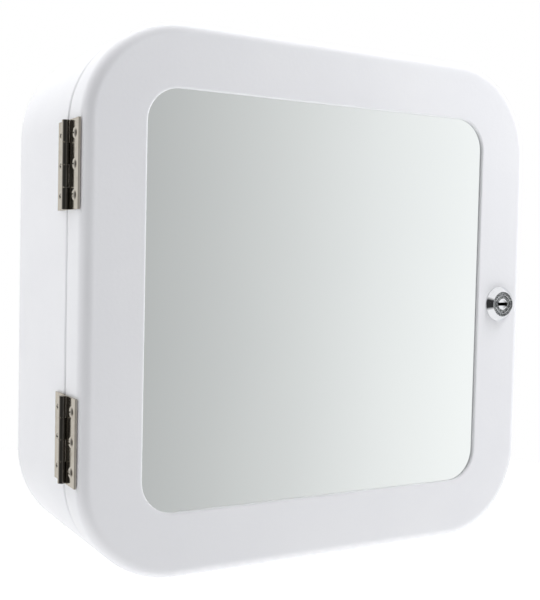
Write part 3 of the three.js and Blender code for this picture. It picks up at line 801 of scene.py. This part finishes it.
# ------------------------------------------------------------------ mirror
# A 3 mm glass plate, silvered on its back, with ground edges that show green. It lies behind the
# window's folded edge.
SILVER_TONE = (0.86, 0.885, 0.87, 1)
SILVER_CAST = (0.84, 0.865, 0.855, 1)
GLASS_EDGE = (0.10, 0.32, 0.24, 1)
GLASS_EDGE_PALE = (0.22, 0.45, 0.36, 1)
BACK_PAINT = (0.16, 0.18, 0.19, 1)
BACK_PAINT_PALE = (0.22, 0.24, 0.25, 1)
MIRROR_EASE = 0.4
SQUARE_ON = 0.95  # how nearly a face looks along Y to take the finish of a front or a back
MIRROR_RADIUS = WINDOW_RADIUS + glass_growth

mirror_silver, tree, shader = surface("mirror_silver")
smears = use(tree, hand_smears, {"Size": 16.0})["Mask"]
dusty = use(tree, settled_dust, {"Amount": 0.1})["Mask"]
uneven = ranged(tree, noise(tree, 6.0, 2.0), 0, 1, 0.35, 0.65)
silver = blended(tree, dusty, blended(tree, uneven, SILVER_TONE, SILVER_CAST), DUST)
coloured(tree, shader, silver, ranged(tree, smears, 0.015, 0.05), metal=1.0)
raised(tree, shader, noise(tree, 9.0, 1.0), 0.000004)

glass_edge, tree, shader = surface("ground_glass_edge")
grind = noise(tree, 900.0, 4.0, stretch=(0.2, 4.0, 0.2))
green = blended(tree, ranged(tree, grind, 0, 1, 0.3, 0.7), GLASS_EDGE, GLASS_EDGE_PALE)
coloured(tree, shader, green, ranged(tree, grind, 0.35, 0.6))
raised(tree, shader, grind, 0.00003)

backing_paint, tree, shader = surface("mirror_backing_paint")
brushed_on = noise(tree, 240.0, 4.0, stretch=(1, 1, 0.15))
backing = blended(tree, brushed_on, BACK_PAINT, BACK_PAINT_PALE)
coloured(tree, shader, backing, ranged(tree, brushed_on, 0.5, 0.75))
raised(tree, shader, brushed_on, 0.00003)

bm = plate_of("mirror", MIRROR_RADIUS, MIRROR_EASE)
for face in bm.faces:
    if abs(face.normal.y) < SQUARE_ON:
        face.material_index = 1
    elif face.normal.y > 0:
        face.material_index = 2
glass_finishes = [mirror_silver, glass_edge, backing_paint]
finished("mirror_glass_plate", bm, glass_finishes, "door", ["mirror"], crease=25)

# ------------------------------------------------------------------ mirror bedding
# White foam tape seals the glass to the panel round the window, and a foam sheet lies behind the
# glass. A galvanised steel plate covers both.
FOAM_WHITE = (0.78, 0.79, 0.80, 1)
FOAM_GREY = (0.66, 0.67, 0.68, 1)
TAPE_WIDTH = 2.8
TAPE_SOFT = 0.15
CUSHION_SETBACK = 1.0
CUSHION_SOFT = 0.3
COVER_EASE = 0.12


def speckled(tree, scale):
    """The outputs of a pattern of separate cells on the piece's own place."""
    place = put(tree, "ShaderNodeTexCoord").outputs["Object"]
    return put(tree, "ShaderNodeTexVoronoi", {0: place, "Scale": scale}).outputs


white_foam, tree, shader = surface("white_cell_foam")
cells = speckled(tree, 2200.0)["Distance"]
foam_tone = blended(tree, ranged(tree, cells, 0, 1, 0.1, 0.6), FOAM_WHITE, FOAM_GREY)
coloured(tree, shader, foam_tone, ranged(tree, noise(tree, 300.0), 0.8, 0.98))
raised(tree, shader, cells, 0.00015)

tape_low, tape_high = millimetres("mirror_tape")
bm = bmesh.new()
tape_corners = ((tape_low.x, tape_low.z), (tape_high.x, tape_high.z))
tape_radius = WINDOW_RADIUS + SHEET + FIT_GAP + TAPE_WIDTH
tape_front, tape_back = tape_low.y, tape_high.y
first, last = folded_ring(
    bm,
    *tape_corners,
    tape_radius,
    [
        (TAPE_SOFT, tape_back),
        (0.0, tape_back - TAPE_SOFT),
        (0.0, tape_front + TAPE_SOFT),
        (TAPE_SOFT, tape_front),
        (TAPE_WIDTH - TAPE_SOFT, tape_front),
        (TAPE_WIDTH, tape_front + TAPE_SOFT),
        (TAPE_WIDTH, tape_back - TAPE_SOFT),
        (TAPE_WIDTH - TAPE_SOFT, tape_back),
    ],
)
joined(bm, first, last)
tidied(bm)
finished("mirror_seal_tape", bm, [white_foam], "door", ["mirror_tape"])

bm = plate_of("mirror_cushion", MIRROR_RADIUS - CUSHION_SETBACK, CUSHION_SOFT)
finished("mirror_foam_sheet", bm, [white_foam], "door", ["mirror_cushion"])

ZINC_PALE = (0.66, 0.67, 0.69, 1)
ZINC_DARK = (0.59, 0.60, 0.62, 1)
ZINC_SHADE = (0.52, 0.53, 0.56, 1)
ZINC_BLOOM = (0.72, 0.73, 0.72, 1)

# Zinc crystals: flat spangles of slightly different tone, with a fine rolled grain across them.
zinc_spangle, group_in, group_out = group(
    "zinc_spangle", [("Spangle Size", 160.0)], ["Tone", "Grain"]
)
crystals = speckled(zinc_spangle, group_in.outputs[0])["Color"]
crystal_tone = put(zinc_spangle, "ShaderNodeSeparateColor", {0: crystals})
zinc_spangle.links.new(crystal_tone.outputs[0], group_out.inputs[0])
rolled = noise(zinc_spangle, 1400.0, 4.0, stretch=(1, 1, 0.08))
zinc_spangle.links.new(rolled, group_out.inputs[1])


def zinc_surface(name, spangle_size, pale, dark, roughness):
    """Zinc-coated steel, from galvanised sheet to plated small parts."""
    made, tree, shader = surface(name)
    spangle = use(tree, zinc_spangle, {"Spangle Size": spangle_size})
    smears = use(tree, hand_smears, {"Size": 60.0})["Mask"]
    metal = blended(tree, spangle["Tone"], pale, dark)
    bloomed = blended(tree, ranged(tree, smears, 0, 0.25), metal, ZINC_BLOOM)
    uneven = ranged(tree, spangle["Tone"], roughness, roughness + 0.05)
    worn = reckoned(tree, "ADD", uneven, ranged(tree, smears, 0, 0.05))
    coloured(tree, shader, bloomed, worn, metal=1.0)
    raised(tree, shader, spangle["Grain"], 0.000012)
    return made


galvanised = zinc_surface("galvanised_sheet", 150.0, ZINC_PALE, ZINC_DARK, 0.36)
bm = plate_of("mirror_back_plate", MIRROR_RADIUS, COVER_EASE)
finished("mirror_cover_plate", bm, [galvanised], "door", ["mirror_back_plate"])

# ------------------------------------------------------------------ mirror clips
# Eight bent strips of zinc-plated steel, two on each side. Each has a foot welded to the back of
# the door's panel and a springy tongue that presses on the cover plate.
CLIP_SHEET = 0.8
CLIP_FOOT = 10.0
CLIP_TIP = 1.5
CLIP_BEND = 1.0
CLIP_EASE = 0.15
zinc_plate = zinc_surface("zinc_plated_steel", 900.0, ZINC_PALE, ZINC_SHADE, 0.30)
window_centre = Vector(
    ((window_low[0] + window_high[0]) / 2, 0, (window_low[1] + window_high[1]) / 2)
)
edge_turns = {"top": 0, "right": 90, "bottom": 180, "left": 270}
for edge, turn in edge_turns.items():
    for number in (1, 2):
        node = f"mirror_clip_{edge}_{number}"
        low, high = millimetres(node)
        quarter = Matrix.Rotation(math.radians(-turn), 3, "Y")
        corners = [quarter @ (Vector(c) - window_centre) for c in (low, high)]
        left, right = sorted(c.x for c in corners)
        foot_front, tongue_back = low.y, high.y
        bottom, top = sorted(c.z for c in corners)
        riser = top - CLIP_FOOT
        bm = bmesh.new()
        chain = [
            bm.verts.new((left, y, z))
            for y, z in (
                (foot_front, top),
                (foot_front, riser),
                (tongue_back, riser),
                (tongue_back, bottom + CLIP_TIP),
                (tongue_back, bottom),
            )
        ]
        strip = [bm.edges.new(pair) for pair in zip(chain, chain[1:])]
        across, _ = drawn_out(bm, strip)
        bmesh.ops.translate(bm, vec=(right - left, 0, 0), verts=across)
        bent(bm, corner_edges(bm, 30), CLIP_BEND, 5)
        thickened(bm, (0, -1, 0), lambda f: f.calc_center_median().z, CLIP_SHEET)
        softened(bm, CLIP_EASE)
        swung(bm, math.radians(turn), "Y")
        moved(bm, window_centre)
        finished(f"{edge}_clip_{number}", bm, [zinc_plate], "door", [node])

# ------------------------------------------------------------------ hinges
# Two butt hinges in nickel-plated steel. The leaves lie flat on the sides, each with every other
# knuckle rolled round the pin.
HINGE_LENGTH = 50.0
LEAF_THICKNESS = 1.3
KNUCKLE_RADIUS = 2.45
PIN_RADIUS = 1.0
KNUCKLES = 4
KNUCKLE_GAP = 0.3
LEAF_EASE = 0.18
CURL = 292.0  # how far a knuckle is rolled before it meets its own leaf
NICKEL = (0.52, 0.485, 0.43, 1)
NICKEL_TARNISH = (0.34, 0.29, 0.23, 1)
NICKEL_EDGE_TINT = (0.80, 0.78, 0.74, 1)  # how little it brightens at a grazing angle

# Plated metal: fine polishing lines along the piece, and a tarnish that gathers in patches.
plating, group_in, group_out = group(
    "plating", [("Line Size", 1800.0), ("Tarnish Size", 120.0)], ["Lines", "Tarnish"]
)
lines = noise(plating, group_in.outputs[0], 4.0, stretch=(1, 1, 0.06))
stains = noise(plating, group_in.outputs[1], 6.0, roughness=0.6)
plating.links.new(lines, group_out.inputs[0])
plating.links.new(ranged(plating, stains, 0, 1, 0.48, 0.78), group_out.inputs[1])

nickel, tree, shader = surface("nickel_plate")
plated = use(tree, plating)
tarnished = blended(tree, ranged(tree, plated["Tarnish"], 0, 0.45), NICKEL, NICKEL_TARNISH)
stained = ranged(tree, plated["Tarnish"], 0.07, 0.17)
brushed = ranged(tree, plated["Lines"], 0.0, 0.05, 0.3, 0.7)
coloured(tree, shader, tarnished, reckoned(tree, "ADD", stained, brushed), metal=1.0)
shader.inputs["Specular Tint"].default_value = NICKEL_EDGE_TINT
raised(tree, shader, plated["Lines"], 0.0000012)

knuckle_pitch = HINGE_LENGTH / KNUCKLES


def knuckle_levels():
    """Heights where the leaf's rows start and end: knuckles with narrow gaps between them."""
    levels = [-HINGE_LENGTH / 2]
    for i in range(KNUCKLES):
        start = -HINGE_LENGTH / 2 + i * knuckle_pitch + KNUCKLE_GAP / 2
        levels += [start, start + knuckle_pitch - KNUCKLE_GAP]
    return [*levels, HINGE_LENGTH / 2]


def turned(points, steps=48, closed=False, upright=False):
    """A mesh turned about the Y axis, or the Z axis, from (radius, distance along it) points."""
    bm = bmesh.new()
    chain = [bm.verts.new((r, 0, along) if upright else (r, along, 0)) for r, along in points]
    pairs = list(zip(chain, chain[1:]))
    if closed:
        pairs.append((chain[-1], chain[0]))
    profile = [bm.edges.new(pair) for pair in pairs]
    bmesh.ops.spin(
        bm,
        geom=chain + profile,
        cent=(0, 0, 0),
        axis=(0, 0, 1) if upright else (0, 1, 0),
        angle=math.tau,
        steps=steps,
        use_merge=True,
    )
    tidied(bm)
    return bm


for place in HINGE_PLACES:
    pin_low, pin_high = millimetres(f"hinge_{place}_pin")
    axis = (pin_low + pin_high) / 2
    for owner, side in (("body", 1), ("door", -1)):
        node = f"hinge_{place}_{owner}_leaf"
        low, high = millimetres(node)
        reach = high.y - axis.y if side > 0 else axis.y - low.y
        bm = bmesh.new()
        levels = knuckle_levels()
        tip = bm.verts.new((KNUCKLE_RADIUS, side * reach, levels[0]))
        root = bm.verts.new((KNUCKLE_RADIUS, side * (KNUCKLE_RADIUS + KNUCKLE_GAP), levels[0]))
        start = bm.verts.new((KNUCKLE_RADIUS, 0, levels[0]))
        bm.edges.new((tip, root))
        bm.edges.new((root, start))
        bmesh.ops.spin(
            bm,
            geom=[start],
            cent=(0, 0, 0),
            axis=(0, 0, 1),
            angle=math.radians(-side * CURL),
            steps=36,
            use_merge=False,
        )
        row = bm.edges[:]
        for level_start, level_end in zip(levels, levels[1:]):
            new, row = drawn_out(bm, row)
            bmesh.ops.translate(bm, vec=(0, 0, level_end - level_start), verts=new)
        # The knuckles are numbered from the top, and the body's leaf has the first and third.
        spare = []
        for face in bm.faces:
            middle = face.calc_center_median()
            if abs(middle.x - KNUCKLE_RADIUS) < 1e-4 and side * middle.y > KNUCKLE_RADIUS:
                continue
            from_top = HINGE_LENGTH / 2 - middle.z
            number = int(from_top // knuckle_pitch)
            inside = from_top - number * knuckle_pitch
            own = number % 2 == (0 if side > 0 else 1)
            gap = inside < KNUCKLE_GAP / 2 or inside > knuckle_pitch - KNUCKLE_GAP / 2
            if gap or not own:
                spare.append(face)
        bmesh.ops.delete(bm, geom=spare, context="FACES")
        thickened(bm, (1, 0, 0), lambda f: f.calc_area(), LEAF_THICKNESS)
        softened(bm, LEAF_EASE, angle=40)
        moved(bm, axis)
        bm = boolean(bm, screw_holes(owner))
        finished(f"{place}_hinge_{owner}_plate", bm, [nickel], owner, [node])

    # The pin is pressed in flush, with its ends peened over a little.
    half = (pin_high.z - pin_low.z) / 2
    peened = [(0, half), (0.6 * PIN_RADIUS, half), (0.9 * PIN_RADIUS, half - 0.12)]
    upper = [*peened, (PIN_RADIUS, half - 0.35)]
    lower = [(radius, -z) for radius, z in upper]
    bm = turned([*lower, *reversed(upper)], steps=24, upright=True)
    moved(bm, axis)
    finished(f"{place}_hinge_pin_rod", bm, [nickel], "body", [f"hinge_{place}_pin"])


# ------------------------------------------------------------------ hinge screws
# Raised countersunk machine screws in the same nickel plate, three to a leaf, with a cross recess
# in the dome. Each stops at a slightly different turn.
SCREW_HEAD_RADIUS = 3.5
SCREW_DOME = 1.1
THREAD_PITCH = 0.7
THREAD_DEPTH = 0.28
RECESS_REACH = 2.0
RECESS_WIDTH = 0.85
turns = random.Random(7)


def thread(radius, start, end, pitch, depth):
    """A thread's outline as (radius, depth) points from one end to the other."""
    count = max(1, round(abs(end - start) / pitch))
    step = (end - start) / count
    points = []
    for i in range(count):
        points += [
            (radius, start + step * (i + 0.10)),
            (radius, start + step * (i + 0.30)),
            (radius - depth, start + step * (i + 0.60)),
            (radius - depth, start + step * (i + 0.85)),
        ]
    return points


def cross_recess(depth, top):
    """A cutter for a cross recess whose wings narrow towards the bottom."""
    wings = []
    for quarter in (0, 1):
        wing = bmesh.new()
        bmesh.ops.create_cube(wing, size=1.0)
        bmesh.ops.scale(wing, vec=(2 * RECESS_REACH, depth, RECESS_WIDTH), verts=wing.verts)
        bottom = [v for v in wing.verts if v.co.y > 0]
        bmesh.ops.scale(wing, vec=(0.45, 1, 0.7), verts=bottom)
        moved(wing, (0, top + depth / 2, 0))
        swung(wing, math.radians(90 * quarter), "Y")
        wings.append(wing)
    return boolean(wings[0], wings[1], "UNION")


low, high = millimetres("screw_upper_body_1")
screw_length = high.x - low.x - SCREW_DOME
dome_radius = (SCREW_HEAD_RADIUS**2 + SCREW_DOME**2) / (2 * SCREW_DOME)
dome_reach = math.asin(SCREW_HEAD_RADIUS / dome_radius)
dome = [
    (dome_radius * math.sin(a), dome_radius - SCREW_DOME - dome_radius * math.cos(a))
    for a in [dome_reach * i / 9 for i in range(1, 9)]
]
neck = SCREW_HEAD_RADIUS - SCREW_RADIUS
bm = turned(
    [
        (0, -SCREW_DOME),
        *dome,
        (SCREW_HEAD_RADIUS, 0),
        (SCREW_HEAD_RADIUS - 0.05, 0.15),
        (SCREW_RADIUS, neck),
        *thread(SCREW_RADIUS, neck + 0.3, screw_length - 0.5, THREAD_PITCH, THREAD_DEPTH),
        (SCREW_RADIUS - 0.45, screw_length),
        (0, screw_length),
    ],
    steps=32,
)
bm = boolean(bm, cross_recess(2.0, -SCREW_DOME - 0.45))
swung(bm, math.radians(-90), "Z")
screw_mesh = bpy.data.meshes.new("screw_blank")
bm.to_mesh(screw_mesh)
bm.free()
for place in HINGE_PLACES:
    for owner in ("body", "door"):
        for number in (1, 2, 3):
            node = f"screw_{place}_{owner}_{number}"
            low, high = millimetres(node)
            bm = bmesh.new()
            bm.from_mesh(screw_mesh)
            swung(bm, turns.uniform(0, math.pi), "X")
            moved(bm, (low.x + SCREW_DOME, (low.y + high.y) / 2, (low.z + high.z) / 2))
            name = f"{place}_{owner}_hinge_screw_{number}"
            finished(name, bm, [nickel], owner, [node], crease=30)
bpy.data.meshes.remove(screw_mesh)

# ------------------------------------------------------------------ tapped plates
# A strip of plated steel behind each leaf, tapped for its three screws and welded to the inside of
# the sheet.
TAPPED_EASE = 0.35


def block(low, high):
    """A cutter or a blank between two corners."""
    bm = bmesh.new()
    bmesh.ops.create_cube(bm, size=1.0)
    bmesh.ops.scale(bm, vec=Vector(high) - Vector(low), verts=bm.verts)
    moved(bm, (Vector(high) + Vector(low)) / 2)
    return bm


for place in HINGE_PLACES:
    for owner in ("body", "door"):
        node = f"tapped_plate_{place}_{owner}"
        low, high = millimetres(node)
        bm = block(low, high)
        softened(bm, TAPPED_EASE, segments=3)
        bm = boolean(bm, screw_holes(owner))
        finished(f"{place}_{owner}_screw_plate", bm, [zinc_plate], owner, [node])

# ------------------------------------------------------------------ lock body
# A zinc die-cast cam lock, chrome plated: a cone-shaped bezel with a grained face on a threaded
# barrel, with two flats that stop it turning in the door.
BEZEL_RADIUS = 11.9
BEZEL_FACE_RADIUS = 8.9
BEZEL_RIM = 0.5
BARREL_PITCH = 1.0
LATHE_STEPS = 96
CHROME = (0.82, 0.83, 0.85, 1)
CHROME_HAZE = (0.66, 0.67, 0.70, 1)
GRAIN_PALE = (0.50, 0.52, 0.52, 1)
GRAIN_DARK = (0.13, 0.135, 0.14, 1)

chrome, tree, shader = surface("lock_chrome")
smears = use(tree, hand_smears, {"Size": 110.0})["Mask"]
hazed = blended(tree, ranged(tree, smears, 0, 0.35), CHROME, CHROME_HAZE)
coloured(tree, shader, hazed, ranged(tree, smears, 0.04, 0.14), metal=1.0)
raised(tree, shader, noise(tree, 700.0, 2.0), 0.000006)

grained_chrome, tree, shader = surface("grained_chrome")
grains = speckled(tree, 1500.0)["Distance"]
grain_mask = ranged(tree, grains, 0, 1, 0.1, 0.55)
blotches = ranged(tree, noise(tree, 900.0, 3.0), 0, 1, 0.42, 0.60)
grain_mix = reckoned(tree, "MULTIPLY_ADD", grain_mask, 0.35, blotches, use_clamp=True)
grained = blended(tree, grain_mix, GRAIN_PALE, GRAIN_DARK)
coloured(tree, shader, grained, ranged(tree, grain_mask, 0.3, 0.55), metal=1.0)
raised(tree, shader, grains, 0.00006)

# Painted shade: the faces inside the keyway take a near-black tone of greased brass that stands in
# for the shade deep in the slot.
KEYWAY_PAINTED_SHADE = (0.025, 0.023, 0.02, 1)
KEYWAY_SHADED_BRASS = (0.10, 0.08, 0.05, 1)
keyway_shade_finish, tree, shader = surface("keyway_painted_shade")
shade_and_grease_noise = noise(tree, 1600.0, 4.0)
shade_and_grease_tone = blended(tree, ranged(tree, shade_and_grease_noise, 0, 1, 0.5, 0.8), KEYWAY_PAINTED_SHADE, KEYWAY_SHADED_BRASS)
coloured(tree, shader, shade_and_grease_tone, ranged(tree, shade_and_grease_noise, 0.45, 0.8))
raised(tree, shader, shade_and_grease_noise, 0.00002)

plug_low, plug_high = millimetres("lock_plug")
PLUG_RADIUS = 6.0
bezel_face = lock_low.y
bezel_seat = door_front - SEAT_GAP
barrel_back = lock_high.y
bore = PLUG_RADIUS + FIT_GAP
bezel = turned(
    [
        (bore, bezel_seat),
        (bore, bezel_face + BEZEL_RIM + 0.15),
        (bore + 0.15, bezel_face + BEZEL_RIM),
        (BEZEL_FACE_RADIUS - BEZEL_RIM - 0.05, bezel_face + BEZEL_RIM),
        (BEZEL_FACE_RADIUS - BEZEL_RIM, bezel_face + BEZEL_RIM - 0.05),
        *[
            (
                BEZEL_FACE_RADIUS - BEZEL_RIM / 2 + BEZEL_RIM / 2 * math.cos(math.radians(a)),
                bezel_face + BEZEL_RIM / 2 - BEZEL_RIM / 2 * math.sin(math.radians(a)),
            )
            for a in (180, 150, 120, 90, 65, 45)
        ],
        (BEZEL_RADIUS - 0.45, bezel_seat - 0.75),
        (BEZEL_RADIUS - 0.15, bezel_seat - 0.5),
        (BEZEL_RADIUS, bezel_seat - 0.25),
        (BEZEL_RADIUS, bezel_seat),
    ],
    steps=LATHE_STEPS,
    closed=True,
)
barrel = turned(
    [
        (bore, bezel_seat - 0.2),
        (BARREL_RADIUS, bezel_seat - 0.2),
        (BARREL_RADIUS, bezel_seat + 0.3),
        *thread(BARREL_RADIUS, bezel_seat + 0.4, barrel_back - 0.6, BARREL_PITCH, 0.45),
        (BARREL_RADIUS - 0.5, barrel_back),
        (bore, barrel_back),
    ],
    steps=LATHE_STEPS,
    closed=True,
)
lock_length = barrel_back - bezel_face
flats = block(
    (-2 * BARREL_RADIUS, bezel_face - lock_length / 2, -BARREL_FLATS / 2),
    (2 * BARREL_RADIUS, barrel_back + lock_length / 2, BARREL_FLATS / 2),
)
bm = boolean(bezel, boolean(barrel, flats, "INTERSECT"), "UNION")
for face in bm.faces:
    middle = face.calc_center_median()
    if face.normal.y < -SQUARE_ON and abs(middle.y - bezel_face - BEZEL_RIM) < 0.03:
        face.material_index = 1
moved(bm, lock_place)
lock_finishes = [chrome, grained_chrome]
finished(
    "lock_bezel_and_barrel", bm, lock_finishes, "door", ["lock_body"], crease=30
)

# ------------------------------------------------------------------ lock washer and nut
# A flat washer and a hexagon nut on the barrel clamp the lock to the door's panel from behind.
low, high = millimetres("lock_washer")
washer_radius = (high.x - low.x) / 2
NUT_CHAMFER = 0.7
WASHER_EASE = 0.1
hole_radius = BARREL_RADIUS + FIT_GAP


def ring_profile(inner, outer, front, back, ease):
    """The eased section of a flat ring as (radius, depth) points."""
    return [
        (inner + ease, front),
        (outer - ease, front),
        (outer, front + ease),
        (outer, back - ease),
        (outer - ease, back),
        (inner + ease, back),
        (inner, back - ease),
        (inner, front + ease),
    ]


washer = ring_profile(hole_radius, washer_radius, low.y, high.y, WASHER_EASE)
bm = turned(washer, LATHE_STEPS, closed=True)
moved(bm, lock_place)
finished("lock_flat_washer", bm, [zinc_plate], "door", ["lock_washer"])

low, high = millimetres("lock_nut")
nut_corner = (high.x - low.x) / 2
nut_flats = (high.z - low.z) / 2
nut_front, nut_back = low.y, high.y
if nut_flats > nut_corner:
    nut_corner, nut_flats = nut_flats, nut_corner
nut_length = nut_back - nut_front + 2 * CUT_PAST
hexagon = rod((0, nut_front - CUT_PAST, 0), through, nut_corner, nut_length, 6)
first_corner = hexagon.verts[:][0].co
wanted = 0.0 if high.x - low.x > high.z - low.z else math.pi / 2
facing_now = math.atan2(first_corner.z, first_corner.x)
swung(hexagon, facing_now - wanted, "Y")
envelope = turned(
    [
        (0, nut_front),
        (nut_flats - 0.2, nut_front),
        (nut_corner + 0.2, nut_front + NUT_CHAMFER),
        (nut_corner + 0.2, nut_back - NUT_CHAMFER),
        (nut_flats - 0.2, nut_back),
        (0, nut_back),
    ],
    LATHE_STEPS,
)
threaded_bore = turned(
    [
        (0, nut_front - CUT_PAST),
        (hole_radius + 0.4, nut_front - CUT_PAST),
        *thread(hole_radius + 0.35, nut_front + 0.1, nut_back - 0.1, BARREL_PITCH, 0.35),
        (hole_radius + 0.4, nut_back + CUT_PAST),
        (0, nut_back + CUT_PAST),
    ],
    LATHE_STEPS,
)
bm = boolean(boolean(hexagon, envelope, "INTERSECT"), threaded_bore)
moved(bm, lock_place)
finished("lock_hexagon_nut", bm, [zinc_plate], "door", ["lock_nut"], crease=30)

# ------------------------------------------------------------------ lock plug
# The turning part of the lock: a chromed plug with a dished face round its level keyway, and a
# square tenon behind for the cam.
KEYWAY_LENGTH = 8.6
KEYWAY_WIDTH = 2.2
KEYWAY_DEPTH = 12.0
DISH_RADIUS = 3.8
DISH_DEPTH = 0.8
TENON = 7.0
CAM_SCREW_RADIUS = 1.8
CAM_SCREW_GAP = 0.2

plug_face = plug_low.y
tenon_back = plug_high.y
plug_back = barrel_back


bm = turned(
    [
        (0, plug_face + DISH_DEPTH),
        *[
            (
                DISH_RADIUS * math.sin(math.radians(a)),
                plug_face + DISH_DEPTH * math.cos(math.radians(a)),
            )
            for a in (12, 24, 36, 48, 60, 70, 80)
        ],
        (DISH_RADIUS + 0.1, plug_face),
        (PLUG_RADIUS - 0.2, plug_face),
        (PLUG_RADIUS, plug_face + 0.2),
        (PLUG_RADIUS, plug_back),
        (0, plug_back),
    ],
    LATHE_STEPS,
)
half_tenon = TENON / 2
tenon = block(
    (-half_tenon, plug_back - 1, -half_tenon), (half_tenon, tenon_back, half_tenon)
)
softened(tenon, 0.3)
bm = boolean(bm, tenon, "UNION")
keyway = block(
    (-KEYWAY_LENGTH / 2, plug_face - 1, -KEYWAY_WIDTH / 2),
    (KEYWAY_LENGTH / 2, plug_face + KEYWAY_DEPTH, KEYWAY_WIDTH / 2),
)
bm = boolean(bm, keyway)
cam_hole = rod((0, tenon_back - 9, 0), through, CAM_SCREW_RADIUS + CAM_SCREW_GAP, 10, 32)
bm = boolean(bm, cam_hole)
# The plug's flat face takes the grained finish, and the faces inside the keyway take the painted
# shade of the deep slot.
for face in bm.faces:
    middle = face.calc_center_median()
    along, across = abs(middle.x) - KEYWAY_LENGTH / 2, abs(middle.z) - KEYWAY_WIDTH / 2
    in_keyway = along < 0.01 and across < 0.01
    if face.normal.y < -SQUARE_ON and abs(middle.y - plug_face) < 0.02:
        face.material_index = 1
    elif in_keyway and plug_face + 0.3 < middle.y < plug_face + KEYWAY_DEPTH + 0.1:
        face.material_index = 2
moved(bm, lock_place)
plug_finishes = [*lock_finishes, keyway_shade_finish]
finished("lock_turning_plug", bm, plug_finishes, "plug", ["lock_plug"], crease=30)

# ------------------------------------------------------------------ cam, washer and screw
# A stamped steel cam on the tenon, held by a washer and a screw. It swings up behind the body's
# front lip when the key is turned.
CAM_EASE = 0.2
cam_low, cam_high = millimetres("lock_cam")
cam_half = (cam_high.x - cam_low.x) / 2
cam_tip = cam_low.z - lock_z
cam_ends = ((-cam_half, cam_tip), (cam_half, cam_half))
bm = plate(*cam_ends, cam_half - 0.01, cam_low.y, cam_high.y, CAM_EASE, 16)
hole = half_tenon + FIT_GAP
bm = boolean(bm, block((-hole, cam_low.y - 1, -hole), (hole, cam_high.y + 1, hole)))
moved(bm, lock_place)
finished("lock_cam_plate", bm, [zinc_plate], "plug", ["lock_cam"])

low, high = millimetres("cam_washer")
spring_washer = ring_profile(
    CAM_SCREW_RADIUS + CAM_SCREW_GAP, (high.x - low.x) / 2, low.y, high.y, WASHER_EASE
)
bm = turned(spring_washer, 64, closed=True)
moved(bm, lock_place)
finished("cam_flat_washer", bm, [zinc_plate], "plug", ["cam_washer"])

low, high = millimetres("cam_screw")
head_radius = (high.x - low.x) / 2
washer_high = millimetres("cam_washer")[1]
head_seat = washer_high.y + SEAT_GAP
head_height = high.y - head_seat
bm = turned(
    [
        (0, low.y),
        (CAM_SCREW_RADIUS - 0.4, low.y),
        *thread(CAM_SCREW_RADIUS, low.y + 0.4, head_seat - 0.5, THREAD_PITCH, THREAD_DEPTH),
        (CAM_SCREW_RADIUS, head_seat),
        (head_radius - 0.1, head_seat),
        (head_radius, head_seat + 0.1),
        *[
            (
                head_radius * (0.62 + 0.38 * math.cos(math.radians(a))),
                head_seat + head_height * (0.5 + 0.5 * math.sin(math.radians(a))),
            )
            for a in (0, 18, 36, 54, 72, 90)
        ],
        (0, high.y),
    ],
    48,
)
recess = cross_recess(1.6, -0.8)
swung(recess, math.pi, "X")
moved(recess, (0, high.y, 0))
bm = boolean(bm, recess)
moved(bm, lock_place)
finished("cam_holding_screw", bm, [zinc_plate], "plug", ["cam_screw"], crease=30)

# ------------------------------------------------------------------ buffers
# Two low rubber buttons stuck to the front lip on the lock's side. They quieten the door and fill
# the seam.
RUBBER_PALE = (0.62, 0.62, 0.60, 1)
RUBBER_DULL = (0.50, 0.50, 0.48, 1)

buffer_rubber, tree, shader = surface("pale_buffer_rubber")
bloom = noise(tree, 800.0, 4.0)
rubber_tone = blended(tree, ranged(tree, bloom, 0, 1, 0.35, 0.7), RUBBER_PALE, RUBBER_DULL)
coloured(tree, shader, rubber_tone, ranged(tree, bloom, 0.6, 0.85))
raised(tree, shader, noise(tree, 3000.0), 0.00003)

for place in ("upper", "lower"):
    node = f"buffer_{place}"
    low, high = millimetres(node)
    radius = (high.x - low.x) / 2
    bm = turned(
        [
            (0, low.y),
            (radius * 0.55, low.y),
            (radius * 0.78, low.y + 0.06),
            (radius * 0.93, low.y + 0.2),
            (radius, low.y + 0.42),
            (radius, high.y),
            (0, high.y),
        ],
        40,
    )
    moved(bm, ((low.x + high.x) / 2, 0, (low.z + high.z) / 2))
    finished(f"{place}_rubber_button", bm, [buffer_rubber], "body", [node])
